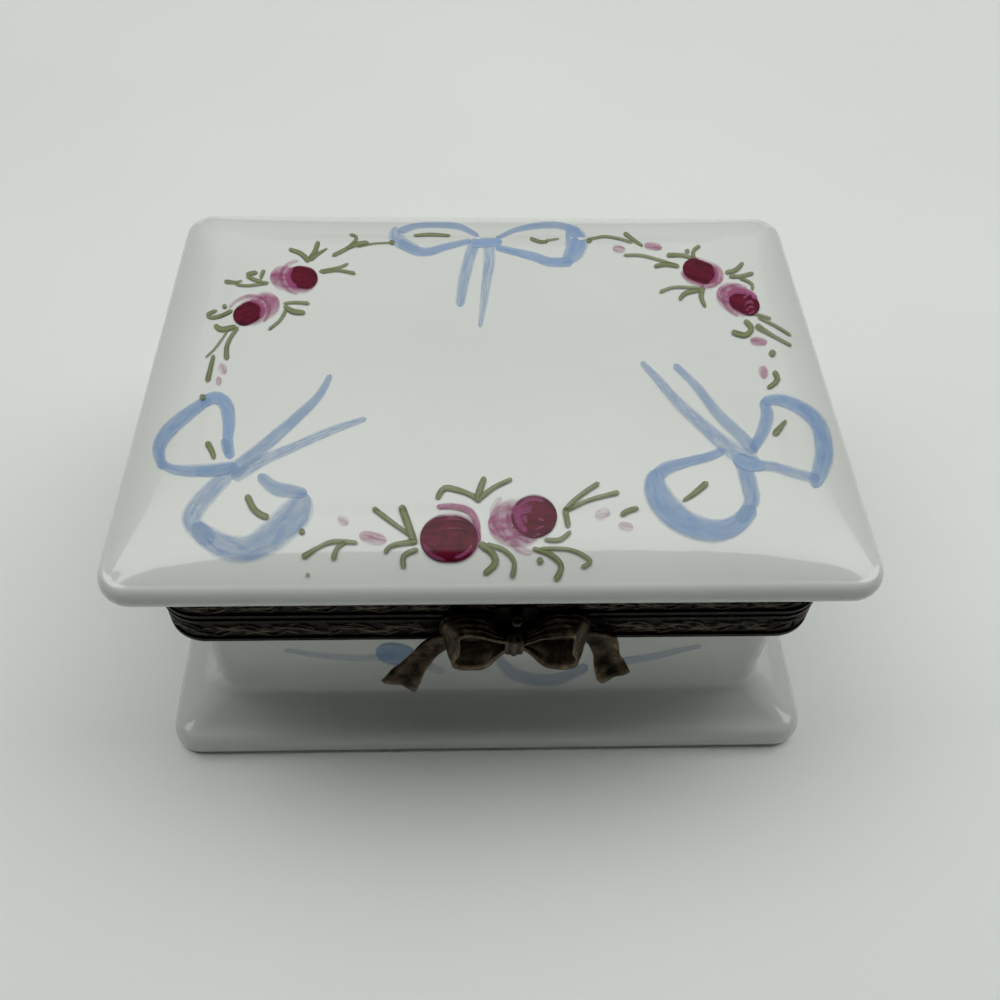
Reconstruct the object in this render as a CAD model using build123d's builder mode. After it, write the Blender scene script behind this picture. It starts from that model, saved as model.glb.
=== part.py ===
from build123d import *
import os

os.makedirs("parts", exist_ok=True)

# Small hinged porcelain keepsake box with brass mounts and a ribbon bow clasp.
# Millimetres. X runs along the hinge, the clasp faces -Y and the foot stands on Z = 0.
# The box is symmetrical about X = 0 and Y = 0, apart from the clasp, the hinge and the catch.

# Plan of the lid rim and of the foot, which are alike
box_length = 57.0
box_depth = 43.5
box_corner = 2.6

# Brass mounts, one on each half, that meet at the split
overhang = 2.4
mount_corner = 3.4
split_height = 19.25
band_height = 3.3
band_thickness = 1.2
flange_thickness = 0.5
fillet_line = 0.5
frieze_recess = 0.18
edge_break = 0.15
lid_gap = 0.1
cement_thickness = 0.5
cement_setback = 0.3

# Porcelain walls
neck_corner = 2.4
wall_thickness = 2.2
cavity_corner = 2.0
floor_thickness = 3.2
floor_bevel = 1.2
foot_thickness = 2.6
foot_top_bevel = 1.2
foot_bottom_bevel = 0.5
flare_rise = 1.45
base_cove_reach = 0.9
base_cove_rise = 1.8
lip_thickness = 2.6
lip_round = 1.25
lip_under_bevel = 0.9
lid_cove_reach = 2.6
lid_cove_rise = 1.35
lid_cove_bend_share = 0.71
lid_cove_clearance = 0.2
slope_reach = 3.4
slope_rise = 1.5
crown_rise = 1.7
crown_corner = 2.0
ceiling_thickness = 2.7
ceiling_bevel = 1.8

# Hinge at the back
knuckle_radius = 1.0
knuckle_length = 4.0
knuckle_gap = 0.1
knuckle_count = 5
hinge_clearance = 0.2
notch_clearance = 0.15
leaf_thickness = 0.5
leaf_height = 2.6
pin_radius = 0.4
pin_clearance = 0.05
pin_head_radius = 0.75
pin_head_length = 0.4
pin_head_bevel = 0.2

# Catch and clasp at the front, a little right of the middle as the maker set it
clasp_offset = 1.7
bead_radius = 0.55
bead_bevel = 0.25
bead_neck_radius = 0.3
bead_height = 1.4
bead_clearance = 0.05
fork_clearance = 0.15
tongue_width = 3.2
tongue_thickness = 0.35
tongue_reach = 2.3
tongue_clearance = 0.15
tongue_corner = 0.5

# Ribbon bow, formed from brass strip
ribbon_thickness = 0.4
bow_drop = 1.2
bow_depth = 1.5
knot_width = 2.2
knot_height = 2.4
knot_round = 0.7
pleat_radius = 0.42
loop_reach = 3.5
loop_back_radius = 2.35
loop_flare = 6
eye_back_radius = 0.55
tail_left_reach = 10.7
tail_left_drop = 6.7
tail_right_reach = 9.7
tail_right_drop = 5.6
tail_flat = 1.6
tail_kick = 1.3

cut_overrun = 1.0

# Each row is a share of the reach and of the drop of a tail, from the knot out and back again.
tail_left_upper_shares = [(0.08, 0.04), (0.42, 0.05), (0.69, -0.12), (1.0, -0.79)]
tail_left_lower_shares = [(0.76, -1.0), (0.58, -0.4), (0.37, -0.19), (0.08, -0.12)]
tail_left_notch_shares = (0.86, -0.84)
tail_right_upper_shares = [(0.08, 0.04), (0.62, 0.03), (0.86, -0.15), (1.0, -0.67)]
tail_right_lower_shares = [(0.75, -1.0), (0.65, -0.24), (0.52, -0.18), (0.08, -0.13)]
tail_right_notch_shares = (0.86, -0.76)

# Sizes that follow from the ones above
mount_length = box_length - 2 * overhang
mount_depth = box_depth - 2 * overhang
neck_length = mount_length - 2 * (band_thickness + cement_thickness)
neck_depth = mount_depth - 2 * (band_thickness + cement_thickness)
cavity_length = neck_length - 2 * wall_thickness
cavity_depth = neck_depth - 2 * wall_thickness
base_rim = split_height - flange_thickness
base_band_bottom = split_height - band_height
lid_band_bottom = split_height + lid_gap
lid_band_top = lid_band_bottom + band_height
lid_neck_bottom = lid_band_bottom + flange_thickness
lid_cove_start = lid_band_top + lid_cove_clearance
lip_bottom = lid_cove_start + lid_cove_rise
lip_top = lip_bottom + lip_thickness
shoulder_height = lip_top + slope_rise
box_height = shoulder_height + crown_rise
mount_front = mount_depth / 2

# Base bowl: a flared foot, a cove in two steps and upright walls, open at the top
flare_top = foot_thickness + flare_rise
wall_bottom = flare_top + base_cove_rise
with BuildPart() as base_porcelain:
    with BuildSketch():
        RectangleRounded(box_length, box_depth, box_corner)
    extrude(amount=foot_thickness)
    chamfer(base_porcelain.edges().group_by(Axis.Z)[-1], length=foot_top_bevel)
    chamfer(base_porcelain.edges().group_by(Axis.Z)[0], length=foot_bottom_bevel)
    with BuildSketch(Plane.XY.offset(foot_thickness)):
        RectangleRounded(
            box_length - 2 * foot_top_bevel, box_depth - 2 * foot_top_bevel, box_corner - foot_top_bevel
        )
    with BuildSketch(Plane.XY.offset(flare_top)):
        RectangleRounded(
            neck_length + 2 * base_cove_reach, neck_depth + 2 * base_cove_reach, neck_corner
        )
    with BuildSketch(Plane.XY.offset(wall_bottom)):
        RectangleRounded(neck_length, neck_depth, neck_corner)
    loft(ruled=True)
    with BuildSketch(Plane.XY.offset(wall_bottom)):
        RectangleRounded(neck_length, neck_depth, neck_corner)
    extrude(amount=base_rim - wall_bottom)
    with BuildSketch(Plane.XY.offset(floor_thickness)):
        RectangleRounded(cavity_length, cavity_depth, cavity_corner)
    extrude(amount=base_rim - floor_thickness, mode=Mode.SUBTRACT)
    floor_edges = base_porcelain.edges().filter_by_position(
        Axis.Z, floor_thickness, floor_thickness
    )
    chamfer(floor_edges, length=floor_bevel)
base_porcelain.part.label = "base_porcelain"
export_step(base_porcelain.part, "parts/base_porcelain.step")

# Cushion crown of the lid: a sloping band and a shallow arch, the same both ways, so that the two
# profiles cross in four hips
with BuildPart() as lid_crown:
    with BuildSketch(Plane.XY.offset(lip_top)):
        RectangleRounded(box_length - 2 * lip_round, box_depth - 2 * lip_round, crown_corner)
    extrude(amount=slope_rise + crown_rise)
    for across, along, run in ((Plane.YZ, box_depth, box_length), (Plane.XZ, box_length, box_depth)):
        edge = along / 2 - lip_round
        shoulder = edge - slope_reach
        with BuildSketch(across):
            with BuildLine():
                Polyline(
                    (-shoulder, shoulder_height),
                    (-edge, lip_top),
                    (edge, lip_top),
                    (shoulder, shoulder_height),
                )
                ThreePointArc(
                    (shoulder, shoulder_height), (0, box_height), (-shoulder, shoulder_height)
                )
            make_face()
        extrude(amount=run / 2, both=True, mode=Mode.INTERSECT)

# Lid: a neck that the mount grips, a cove in two steps, a rounded lip and the crown, hollow below
with BuildPart() as lid_porcelain:
    with BuildSketch(Plane.XY.offset(lip_bottom)):
        RectangleRounded(box_length, box_depth, box_corner)
    extrude(amount=lip_thickness)
    fillet(lid_porcelain.edges().group_by(Axis.Z)[-1], radius=lip_round)
    chamfer(lid_porcelain.edges().group_by(Axis.Z)[0], length=lip_under_bevel)
    with BuildSketch(Plane.XY.offset(lid_neck_bottom)):
        RectangleRounded(neck_length, neck_depth, neck_corner)
    extrude(amount=lid_cove_start - lid_neck_bottom)
    for reach_share, rise_share in ((0, 0), (1 - lid_cove_bend_share, lid_cove_bend_share), (1, 1)):
        reach = lid_cove_reach * reach_share
        with BuildSketch(Plane.XY.offset(lid_cove_start + lid_cove_rise * rise_share)):
            RectangleRounded(neck_length + 2 * reach, neck_depth + 2 * reach, neck_corner + reach)
    loft(ruled=True)
    add(lid_crown.part)
    ceiling_height = box_height - ceiling_thickness
    with BuildSketch(Plane.XY.offset(lid_neck_bottom)):
        RectangleRounded(cavity_length, cavity_depth, cavity_corner)
    extrude(amount=ceiling_height - lid_neck_bottom, mode=Mode.SUBTRACT)
    ceiling_edges = lid_porcelain.edges().filter_by_position(Axis.Z, ceiling_height, ceiling_height)
    chamfer(ceiling_edges, length=ceiling_bevel)
lid_porcelain.part.label = "lid_porcelain"
export_step(lid_porcelain.part, "parts/lid_porcelain.step")

# Base mount: a band with a plain line along each edge, a sunk frieze, and a flange over the rim
with BuildPart() as base_bezel:
    with BuildSketch(Plane.XY.offset(base_band_bottom)):
        RectangleRounded(mount_length, mount_depth, mount_corner)
    extrude(amount=band_height)
    chamfer(base_bezel.edges().group_by(Axis.Z)[-1], length=edge_break)
    chamfer(base_bezel.edges().group_by(Axis.Z)[0], length=edge_break)
    with BuildSketch(Plane.XY.offset(base_band_bottom)):
        RectangleRounded(
            mount_length - 2 * band_thickness,
            mount_depth - 2 * band_thickness,
            mount_corner - band_thickness,
        )
    extrude(amount=band_height - flange_thickness, mode=Mode.SUBTRACT)
    with BuildSketch(Plane.XY.offset(base_rim)):
        RectangleRounded(cavity_length, cavity_depth, cavity_corner)
    extrude(amount=flange_thickness, mode=Mode.SUBTRACT)
    with BuildSketch(Plane.XY.offset(base_band_bottom + fillet_line)):
        Rectangle(mount_length + 2 * cut_overrun, mount_depth + 2 * cut_overrun)
        RectangleRounded(
            mount_length - 2 * frieze_recess,
            mount_depth - 2 * frieze_recess,
            mount_corner - frieze_recess,
            mode=Mode.SUBTRACT,
        )
    extrude(amount=band_height - 2 * fillet_line, mode=Mode.SUBTRACT)
base_bezel.part.label = "base_bezel"
export_step(base_bezel.part, "parts/base_bezel.step")

# Lid mount: the same strip turned over, with its flange under the neck of the lid
with BuildPart() as lid_bezel:
    with BuildSketch(Plane.XY.offset(lid_band_bottom)):
        RectangleRounded(mount_length, mount_depth, mount_corner)
    extrude(amount=band_height)
    chamfer(lid_bezel.edges().group_by(Axis.Z)[-1], length=edge_break)
    chamfer(lid_bezel.edges().group_by(Axis.Z)[0], length=edge_break)
    with BuildSketch(Plane.XY.offset(lid_neck_bottom)):
        RectangleRounded(
            mount_length - 2 * band_thickness,
            mount_depth - 2 * band_thickness,
            mount_corner - band_thickness,
        )
    extrude(amount=band_height - flange_thickness, mode=Mode.SUBTRACT)
    with BuildSketch(Plane.XY.offset(lid_band_bottom)):
        RectangleRounded(cavity_length, cavity_depth, cavity_corner)
    extrude(amount=flange_thickness, mode=Mode.SUBTRACT)
    with BuildSketch(Plane.XY.offset(lid_band_bottom + fillet_line)):
        Rectangle(mount_length + 2 * cut_overrun, mount_depth + 2 * cut_overrun)
        RectangleRounded(
            mount_length - 2 * frieze_recess,
            mount_depth - 2 * frieze_recess,
            mount_corner - frieze_recess,
            mode=Mode.SUBTRACT,
        )
    extrude(amount=band_height - 2 * fillet_line, mode=Mode.SUBTRACT)
lid_bezel.part.label = "lid_bezel"
export_step(lid_bezel.part, "parts/lid_bezel.step")

# Cement that holds each mount on its porcelain neck
with BuildPart() as base_cement:
    with BuildSketch(Plane.XY.offset(base_band_bottom + cement_setback)):
        RectangleRounded(
            mount_length - 2 * band_thickness,
            mount_depth - 2 * band_thickness,
            mount_corner - band_thickness,
        )
        RectangleRounded(neck_length, neck_depth, neck_corner, mode=Mode.SUBTRACT)
    extrude(amount=band_height - flange_thickness - cement_setback)
base_cement.part.label = "base_cement"
export_step(base_cement.part, "parts/base_cement.step")

with BuildPart() as lid_cement:
    with BuildSketch(Plane.XY.offset(lid_neck_bottom)):
        RectangleRounded(
            mount_length - 2 * band_thickness,
            mount_depth - 2 * band_thickness,
            mount_corner - band_thickness,
        )
        RectangleRounded(neck_length, neck_depth, neck_corner, mode=Mode.SUBTRACT)
    extrude(amount=band_height - flange_thickness - cement_setback)
lid_cement.part.label = "lid_cement"
export_step(lid_cement.part, "parts/lid_cement.step")

# Hinge: two notched strips soldered to the back of the mounts, rolled into knuckles on one axis
hinge_axis_y = mount_depth / 2 + hinge_clearance + knuckle_radius
hinge_axis_z = split_height + lid_gap / 2
hinge_length = knuckle_count * knuckle_length
hinge_start = -hinge_length / 2
base_knuckles = range(0, knuckle_count, 2)
lid_knuckles = range(1, knuckle_count, 2)

with BuildPart() as hinge_leaf_base:
    with BuildSketch(Plane.YZ.offset(hinge_start)):
        with Locations((mount_depth / 2, split_height)):
            Rectangle(leaf_thickness, leaf_height, align=(Align.MIN, Align.MAX))
    extrude(amount=hinge_length)
    for slot in lid_knuckles:
        with BuildSketch(Plane.YZ.offset(hinge_start + slot * knuckle_length)):
            with Locations((mount_depth / 2, split_height)):
                Rectangle(
                    leaf_thickness, knuckle_radius + notch_clearance, align=(Align.MIN, Align.MAX)
                )
        extrude(amount=knuckle_length, mode=Mode.SUBTRACT)
    for slot in base_knuckles:
        with BuildSketch(Plane.YZ.offset(hinge_start + slot * knuckle_length + knuckle_gap / 2)):
            with Locations((hinge_axis_y, hinge_axis_z)):
                Circle(knuckle_radius)
        extrude(amount=knuckle_length - knuckle_gap)
    with BuildSketch(Plane.YZ.offset(hinge_start)):
        with Locations((hinge_axis_y, hinge_axis_z)):
            Circle(pin_radius + pin_clearance)
    extrude(amount=hinge_length, mode=Mode.SUBTRACT)
hinge_leaf_base.part.label = "hinge_leaf_base"
export_step(hinge_leaf_base.part, "parts/hinge_leaf_base.step")

with BuildPart() as hinge_leaf_lid:
    with BuildSketch(Plane.YZ.offset(hinge_start)):
        with Locations((mount_depth / 2, lid_band_bottom)):
            Rectangle(leaf_thickness, leaf_height, align=(Align.MIN, Align.MIN))
    extrude(amount=hinge_length)
    for slot in base_knuckles:
        with BuildSketch(Plane.YZ.offset(hinge_start + slot * knuckle_length)):
            with Locations((mount_depth / 2, lid_band_bottom)):
                Rectangle(
                    leaf_thickness, knuckle_radius + notch_clearance, align=(Align.MIN, Align.MIN)
                )
        extrude(amount=knuckle_length, mode=Mode.SUBTRACT)
    for slot in lid_knuckles:
        with BuildSketch(Plane.YZ.offset(hinge_start + slot * knuckle_length + knuckle_gap / 2)):
            with Locations((hinge_axis_y, hinge_axis_z)):
                Circle(knuckle_radius)
        extrude(amount=knuckle_length - knuckle_gap)
    with BuildSketch(Plane.YZ.offset(hinge_start)):
        with Locations((hinge_axis_y, hinge_axis_z)):
            Circle(pin_radius + pin_clearance)
    extrude(amount=hinge_length, mode=Mode.SUBTRACT)
hinge_leaf_lid.part.label = "hinge_leaf_lid"
export_step(hinge_leaf_lid.part, "parts/hinge_leaf_lid.step")

# Pin: drawn wire with a peened head at each end
with BuildPart() as hinge_pin:
    with BuildSketch(Plane.YZ.offset(hinge_start)):
        with Locations((hinge_axis_y, hinge_axis_z)):
            Circle(pin_radius)
    extrude(amount=hinge_length)
    for head_start in (hinge_start - pin_head_length, hinge_start + hinge_length):
        with BuildSketch(Plane.YZ.offset(head_start)):
            with Locations((hinge_axis_y, hinge_axis_z)):
                Circle(pin_head_radius)
        extrude(amount=pin_head_length)
    head_edges = hinge_pin.edges().filter_by(GeomType.CIRCLE).group_by(Axis.X)
    chamfer(head_edges[0] + head_edges[-1], length=pin_head_bevel)
hinge_pin.part.label = "hinge_pin"
export_step(hinge_pin.part, "parts/hinge_pin.step")

# Catch: a turned bead whose neck is set in the frieze of the lid mount
tongue_back = mount_front + tongue_clearance
tongue_front = tongue_back + tongue_thickness
bead_centre_out = tongue_front + bead_clearance + bead_radius
bead_centre_height = lid_band_bottom + bead_height
frieze_front = mount_front - frieze_recess
with BuildPart() as catch_bead:
    with BuildSketch(Plane.XZ.offset(frieze_front)):
        with Locations((clasp_offset, bead_centre_height)):
            Circle(bead_neck_radius)
    extrude(amount=bead_centre_out - frieze_front)
    with BuildSketch(Plane.XZ.offset(bead_centre_out - bead_radius)):
        with Locations((clasp_offset, bead_centre_height)):
            Circle(bead_radius)
    extrude(amount=2 * bead_radius)
    bead_edges = catch_bead.edges().filter_by(GeomType.CIRCLE).group_by(Axis.Y)
    chamfer(bead_edges[0], length=bead_bevel)
catch_bead.part.label = "catch_bead"
export_step(catch_bead.part, "parts/catch_bead.step")

# Clasp tongue: a springy strip on the base mount, forked at the top round the neck of the bead
tongue_bottom = base_band_bottom + fillet_line
tongue_top = split_height + tongue_reach
with BuildPart() as clasp_tongue:
    with BuildSketch(Plane.XZ.offset(tongue_back)):
        with Locations((clasp_offset, tongue_bottom)):
            Rectangle(
                tongue_width, tongue_top - tongue_bottom, align=(Align.CENTER, Align.MIN)
            )
        with Locations((clasp_offset, bead_centre_height)):
            Circle(bead_neck_radius + fork_clearance, mode=Mode.SUBTRACT)
            Rectangle(
                2 * (bead_neck_radius + fork_clearance),
                tongue_reach,
                align=(Align.CENTER, Align.MIN),
                mode=Mode.SUBTRACT,
            )
    extrude(amount=tongue_thickness)
    fillet(clasp_tongue.edges().filter_by(Axis.Y).group_by(Axis.X)[0], radius=tongue_corner)
    fillet(clasp_tongue.edges().filter_by(Axis.Y).group_by(Axis.X)[-1], radius=tongue_corner)
    with BuildSketch(Plane.XZ.offset(frieze_front)):
        with Locations((clasp_offset, tongue_bottom)):
            Rectangle(
                tongue_width - 2 * tongue_corner,
                band_height - 2 * fillet_line,
                align=(Align.CENTER, Align.MIN),
            )
    extrude(amount=tongue_back - frieze_front)
clasp_tongue.part.label = "clasp_tongue"
export_step(clasp_tongue.part, "parts/clasp_tongue.step")

# Knot of the bow: a short strip wrapped over the middle, pinched into three pleats
bow_height = split_height - bow_drop
bow_back = tongue_front + ribbon_thickness
bow_front = bow_back + bow_depth
knot_depth = bow_front - tongue_front
pleat_spread = knot_width / 2 - pleat_radius
with BuildPart() as bow_knot:
    with BuildSketch(Plane.XY.offset(bow_height - knot_height / 2)):
        with Locations((clasp_offset, -tongue_front)):
            Rectangle(knot_width, knot_depth - pleat_radius, align=(Align.CENTER, Align.MAX))
        for step in (-1, 0, 1):
            with Locations((clasp_offset + step * pleat_spread, pleat_radius - bow_front)):
                Circle(pleat_radius)
    extrude(amount=knot_height)
    with BuildSketch(Plane.YZ.offset(clasp_offset - knot_width)):
        with Locations((-tongue_front, bow_height)):
            RectangleRounded(2 * knot_depth, knot_height, knot_round)
    extrude(amount=2 * knot_width, mode=Mode.INTERSECT)
bow_knot.part.label = "bow_knot"
export_step(bow_knot.part, "parts/bow_knot.step")

# Loops: pressed from strip to a teardrop on each side, closed behind, open in front and flared there
for side, name in ((-1, "bow_loop_left"), (1, "bow_loop_right")):
    with BuildPart() as bow_loop:
        for strip, mode in ((0, Mode.ADD), (ribbon_thickness, Mode.SUBTRACT)):
            with BuildSketch(Plane.XZ.offset(bow_back + strip)):
                with Locations((clasp_offset + side * knot_width / 2, bow_height)):
                    Circle(eye_back_radius - strip)
                with Locations((clasp_offset + side * loop_reach, bow_height)):
                    Circle(loop_back_radius - strip)
                make_hull()
            extrude(amount=bow_depth - strip, taper=-loop_flare, mode=mode)
        add(bow_knot.part, mode=Mode.SUBTRACT)
    bow_loop.part.label = name
    export_step(bow_loop.part, f"parts/{name}.step")

# Tails: strips that come out from behind the loops, kick forward and end in a notch
tail_sets = (
    ("bow_tail_left", -tail_left_reach, tail_left_drop, tail_left_upper_shares,
     tail_left_notch_shares, tail_left_lower_shares),
    ("bow_tail_right", tail_right_reach, tail_right_drop, tail_right_upper_shares,
     tail_right_notch_shares, tail_right_lower_shares),
)
tail_middle = -tongue_front - ribbon_thickness / 2
for name, reach, drop, upper_shares, notch_shares, lower_shares in tail_sets:
    upper = [(clasp_offset + reach * a, bow_height + drop * b) for a, b in upper_shares]
    lower = [(clasp_offset + reach * a, bow_height + drop * b) for a, b in lower_shares]
    notch = (clasp_offset + reach * notch_shares[0], bow_height + drop * notch_shares[1])
    with BuildPart() as bow_tail:
        with BuildSketch(Plane.YZ):
            with BuildLine():
                flat = Line(
                    (tail_middle, bow_height + tail_flat), (tail_middle, bow_height - tail_flat)
                )
                TangentArc(
                    flat @ 1,
                    (tail_middle - tail_kick, bow_height - drop - ribbon_thickness),
                    tangent=flat % 1,
                )
            trace(line_width=ribbon_thickness)
        extrude(amount=abs(reach) + abs(clasp_offset), both=True)
        with BuildSketch(Plane.XZ.offset(mount_front)):
            with BuildLine():
                Spline(upper)
                Polyline(upper[-1], notch, lower[0])
                Spline(lower)
                Line(lower[-1], upper[0])
            make_face()
        extrude(amount=bow_front - mount_front + tail_kick, mode=Mode.INTERSECT)
        add(bow_knot.part, mode=Mode.SUBTRACT)
    bow_tail.part.label = name
    export_step(bow_tail.part, f"parts/{name}.step")
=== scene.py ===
import math
import bmesh
import bpy
from mathutils import Matrix, Vector, noise
from mathutils.bvhtree import BVHTree


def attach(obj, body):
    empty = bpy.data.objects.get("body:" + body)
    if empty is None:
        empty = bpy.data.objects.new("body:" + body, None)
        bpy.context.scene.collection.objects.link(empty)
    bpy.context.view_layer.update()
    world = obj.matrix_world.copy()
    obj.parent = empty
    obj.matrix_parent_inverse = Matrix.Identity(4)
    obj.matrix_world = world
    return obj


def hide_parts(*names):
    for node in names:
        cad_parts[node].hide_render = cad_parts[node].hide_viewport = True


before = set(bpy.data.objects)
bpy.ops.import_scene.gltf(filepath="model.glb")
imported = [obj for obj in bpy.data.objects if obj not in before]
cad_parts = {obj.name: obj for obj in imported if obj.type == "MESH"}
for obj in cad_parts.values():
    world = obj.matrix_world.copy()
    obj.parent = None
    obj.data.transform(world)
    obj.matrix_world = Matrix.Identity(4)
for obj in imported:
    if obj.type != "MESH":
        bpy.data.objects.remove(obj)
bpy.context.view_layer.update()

# The camera: a phone held just in front of the little box and looking down on its lid.
# It stands 86 mm above the table, with a lens as long as the picture is wide.
mm = 0.001
picture_side = 1000
focal_pixels = 1000
film_width = 36
nearest_seen = 5 * mm
camera_place = Vector((-2.19, -59.86, 86.01)) * mm
look_down = math.radians(51.97)
look_aside = math.radians(3.25)
phone_tilt = math.radians(2.3)

camera_data = bpy.data.cameras.new("camera")
camera_data.sensor_width = film_width
camera_data.lens = film_width * focal_pixels / picture_side
camera_data.clip_start = nearest_seen
camera = bpy.data.objects.new("camera", camera_data)
bpy.context.scene.collection.objects.link(camera)
camera.matrix_world = (
    Matrix.Translation(camera_place)
    @ Matrix.Rotation(-look_aside, 4, "Z")
    @ Matrix.Rotation(math.pi / 2 - look_down, 4, "X")
    @ Matrix.Rotation(phone_tilt, 4, "Z")
)
bpy.context.scene.camera = camera
bpy.context.scene.view_settings.view_transform = "Standard"
camera_turn = camera.matrix_world.to_3x3()


# The table: a smooth pale laminate, a little marbled and finely grained.
# It has no fixing; the box only stands on it.
def shader(name):
    """A new material, its nodes, its links and its main shader."""
    material = bpy.data.materials.new(name)
    material.use_nodes = True
    nodes = material.node_tree.nodes
    return material, nodes, material.node_tree.links, nodes["Principled BSDF"]


def object_place(nodes):
    """Where on the object a point lies, in metres, for grain that keeps its real size."""
    return nodes.new("ShaderNodeTexCoord").outputs["Object"]


def grain(nodes, links, place, grain_size, detail=3.0, roughness=0.5):
    """Cloudy noise whose patches are about grain_size across."""
    cloud = nodes.new("ShaderNodeTexNoise")
    cloud.inputs["Scale"].default_value = 1 / grain_size
    cloud.inputs["Detail"].default_value = detail
    cloud.inputs["Roughness"].default_value = roughness
    links.new(place, cloud.inputs["Vector"])
    return cloud.outputs["Fac"]


def shades(nodes, links, amount, stops):
    """Colours along amount, from (place, colour) stops."""
    ramp = nodes.new("ShaderNodeValToRGB")
    while len(ramp.color_ramp.elements) < len(stops):
        ramp.color_ramp.elements.new(0.5)
    for element, (place, colour) in zip(ramp.color_ramp.elements, stops):
        element.position = place
        element.color = (*colour, 1)
    links.new(amount, ramp.inputs["Fac"])
    return ramp.outputs["Color"]


def levels(nodes, links, amount, low, high, start=0.0, end=1.0):
    """amount from start to end, turned into low to high."""
    level = nodes.new("ShaderNodeMapRange")
    level.inputs["From Min"].default_value = start
    level.inputs["From Max"].default_value = end
    level.inputs["To Min"].default_value = low
    level.inputs["To Max"].default_value = high
    links.new(amount, level.inputs["Value"])
    return level.outputs["Result"]


def raised(nodes, links, height, depth, skin, strength=1.0):
    """Bumps of the given depth on a shader."""
    bump = nodes.new("ShaderNodeBump")
    bump.inputs["Strength"].default_value = strength
    bump.inputs["Distance"].default_value = depth
    links.new(height, bump.inputs["Height"])
    links.new(bump.outputs["Normal"], skin.inputs["Normal"])


def solid(name, points, faces, finish, smooth=True):
    """A mesh object from points in metres."""
    mesh = bpy.data.meshes.new(name)
    mesh.from_pydata([tuple(point) for point in points], [], faces)
    mesh.validate()
    mesh.materials.append(finish)
    for face in mesh.polygons:
        face.use_smooth = smooth
    piece = bpy.data.objects.new(name, mesh)
    bpy.context.scene.collection.objects.link(piece)
    return piece


table_half = 0.9
marbling_size, table_grain_size, table_grain_height = 60 * mm, 0.9 * mm, 0.02 * mm
laminate, nodes, links, skin = shader("laminate")
place = object_place(nodes)
skin.inputs["Roughness"].default_value = 0.55
marbling = grain(nodes, links, place, marbling_size)
laminate_shades = ((0.3, (0.82, 0.84, 0.81)), (0.7, (0.86, 0.88, 0.85)))
links.new(shades(nodes, links, marbling, laminate_shades), skin.inputs["Base Color"])
raised(nodes, links, grain(nodes, links, place, table_grain_size), table_grain_height, skin)
table_corners = [(x * table_half, y * table_half, 0) for x, y in ((-1, -1), (1, -1), (1, 1), (-1, 1))]
table = solid("table", table_corners, [(0, 1, 2, 3)], laminate, smooth=False)

# The light: a broad soft panel that starts a little in front of the box and fades away behind it.
# In front of it the room is dim, so the front of the box is lit mostly by the table.
lamps_above, lamp_colour = 0.35, (0.98, 1.0, 0.98)
panel_front, panel_back, panel_width, panel_aside, panel_level = -0.048, 0.95, 0.8, 0.05, 2.7
fade_start, fade_end, faded_level = 0.05, 0.42, 0.12
fill_front, fill_width, fill_level = -0.35, 1.0, 0.06
room_colour, room_level = (0.95, 1.0, 0.98, 1), 0.02


def soft_lamp(name, front, back, width, aside, brightness):
    """A level rectangular lamp over the table, as bright all over as asked."""
    lamp = bpy.data.lights.new(name, "AREA")
    lamp.shape = "RECTANGLE"
    lamp.size = width
    lamp.size_y = back - front
    lamp.energy = math.pi * width * (back - front) * brightness
    lamp.color = lamp_colour
    hung = bpy.data.objects.new(name, lamp)
    bpy.context.scene.collection.objects.link(hung)
    hung.location = (aside, (front + back) / 2, lamps_above)
    return lamp


panel = soft_lamp("panel", panel_front, panel_back, panel_width, panel_aside, panel_level)
panel.use_nodes = True
nodes, links = panel.node_tree.nodes, panel.node_tree.links
panel_place = nodes.new("ShaderNodeNewGeometry")
towards_back = nodes.new("ShaderNodeSeparateXYZ")
links.new(panel_place.outputs["Parametric"], towards_back.inputs["Vector"])
fade = levels(nodes, links, towards_back.outputs["Y"], 1.0, faded_level, fade_start, fade_end)
fade.node.interpolation_type = "SMOOTHSTEP"
links.new(fade, nodes["Emission"].inputs["Strength"])
soft_lamp("fill", fill_front, panel_front, fill_width, 0, fill_level)

room = bpy.data.worlds.new("room")
bpy.context.scene.world = room
room.use_nodes = True
room_glow = room.node_tree.nodes["Background"]
room_glow.inputs["Color"].default_value = room_colour
room_glow.inputs["Strength"].default_value = room_level

# The base: slip-cast white hard porcelain, a bowl with a flared foot, a cove and upright walls.
# It is glazed all over, but for the ring that it stands on.
box_length, box_depth, box_corner = 57.0, 43.5, 2.6
neck_length, neck_corner = 48.8, 2.4
cavity_length, cavity_corner = 44.4, 2.0
foot_thickness, foot_top_round, foot_bottom_round = 2.6, 1.2, 0.8
flare_rise, base_cove_radius = 2.1, 2.2
floor_thickness, floor_round = 3.2, 1.6
base_rim, rim_round, inner_corner = 18.75, 0.25, 0.4
foot_ring_inset, foot_ring_width, foot_ring_height = 2.6, 0.5, 0.4
# Each point of the flare is its inset from the outline of the box and its height.
flare_points = [(1.55, 2.83), (2.1, 3.2), (2.65, 3.61)]
wall_heights = (8.5, 12.0, 15.5)
corner_points, run_points, weld_distance = 12, 22, 0.002 * mm
glaze_cloud, glaze_polish, glaze_ripple, glaze_ripple_height = 20 * mm, 4 * mm, 3.5 * mm, 0.06 * mm


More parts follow.
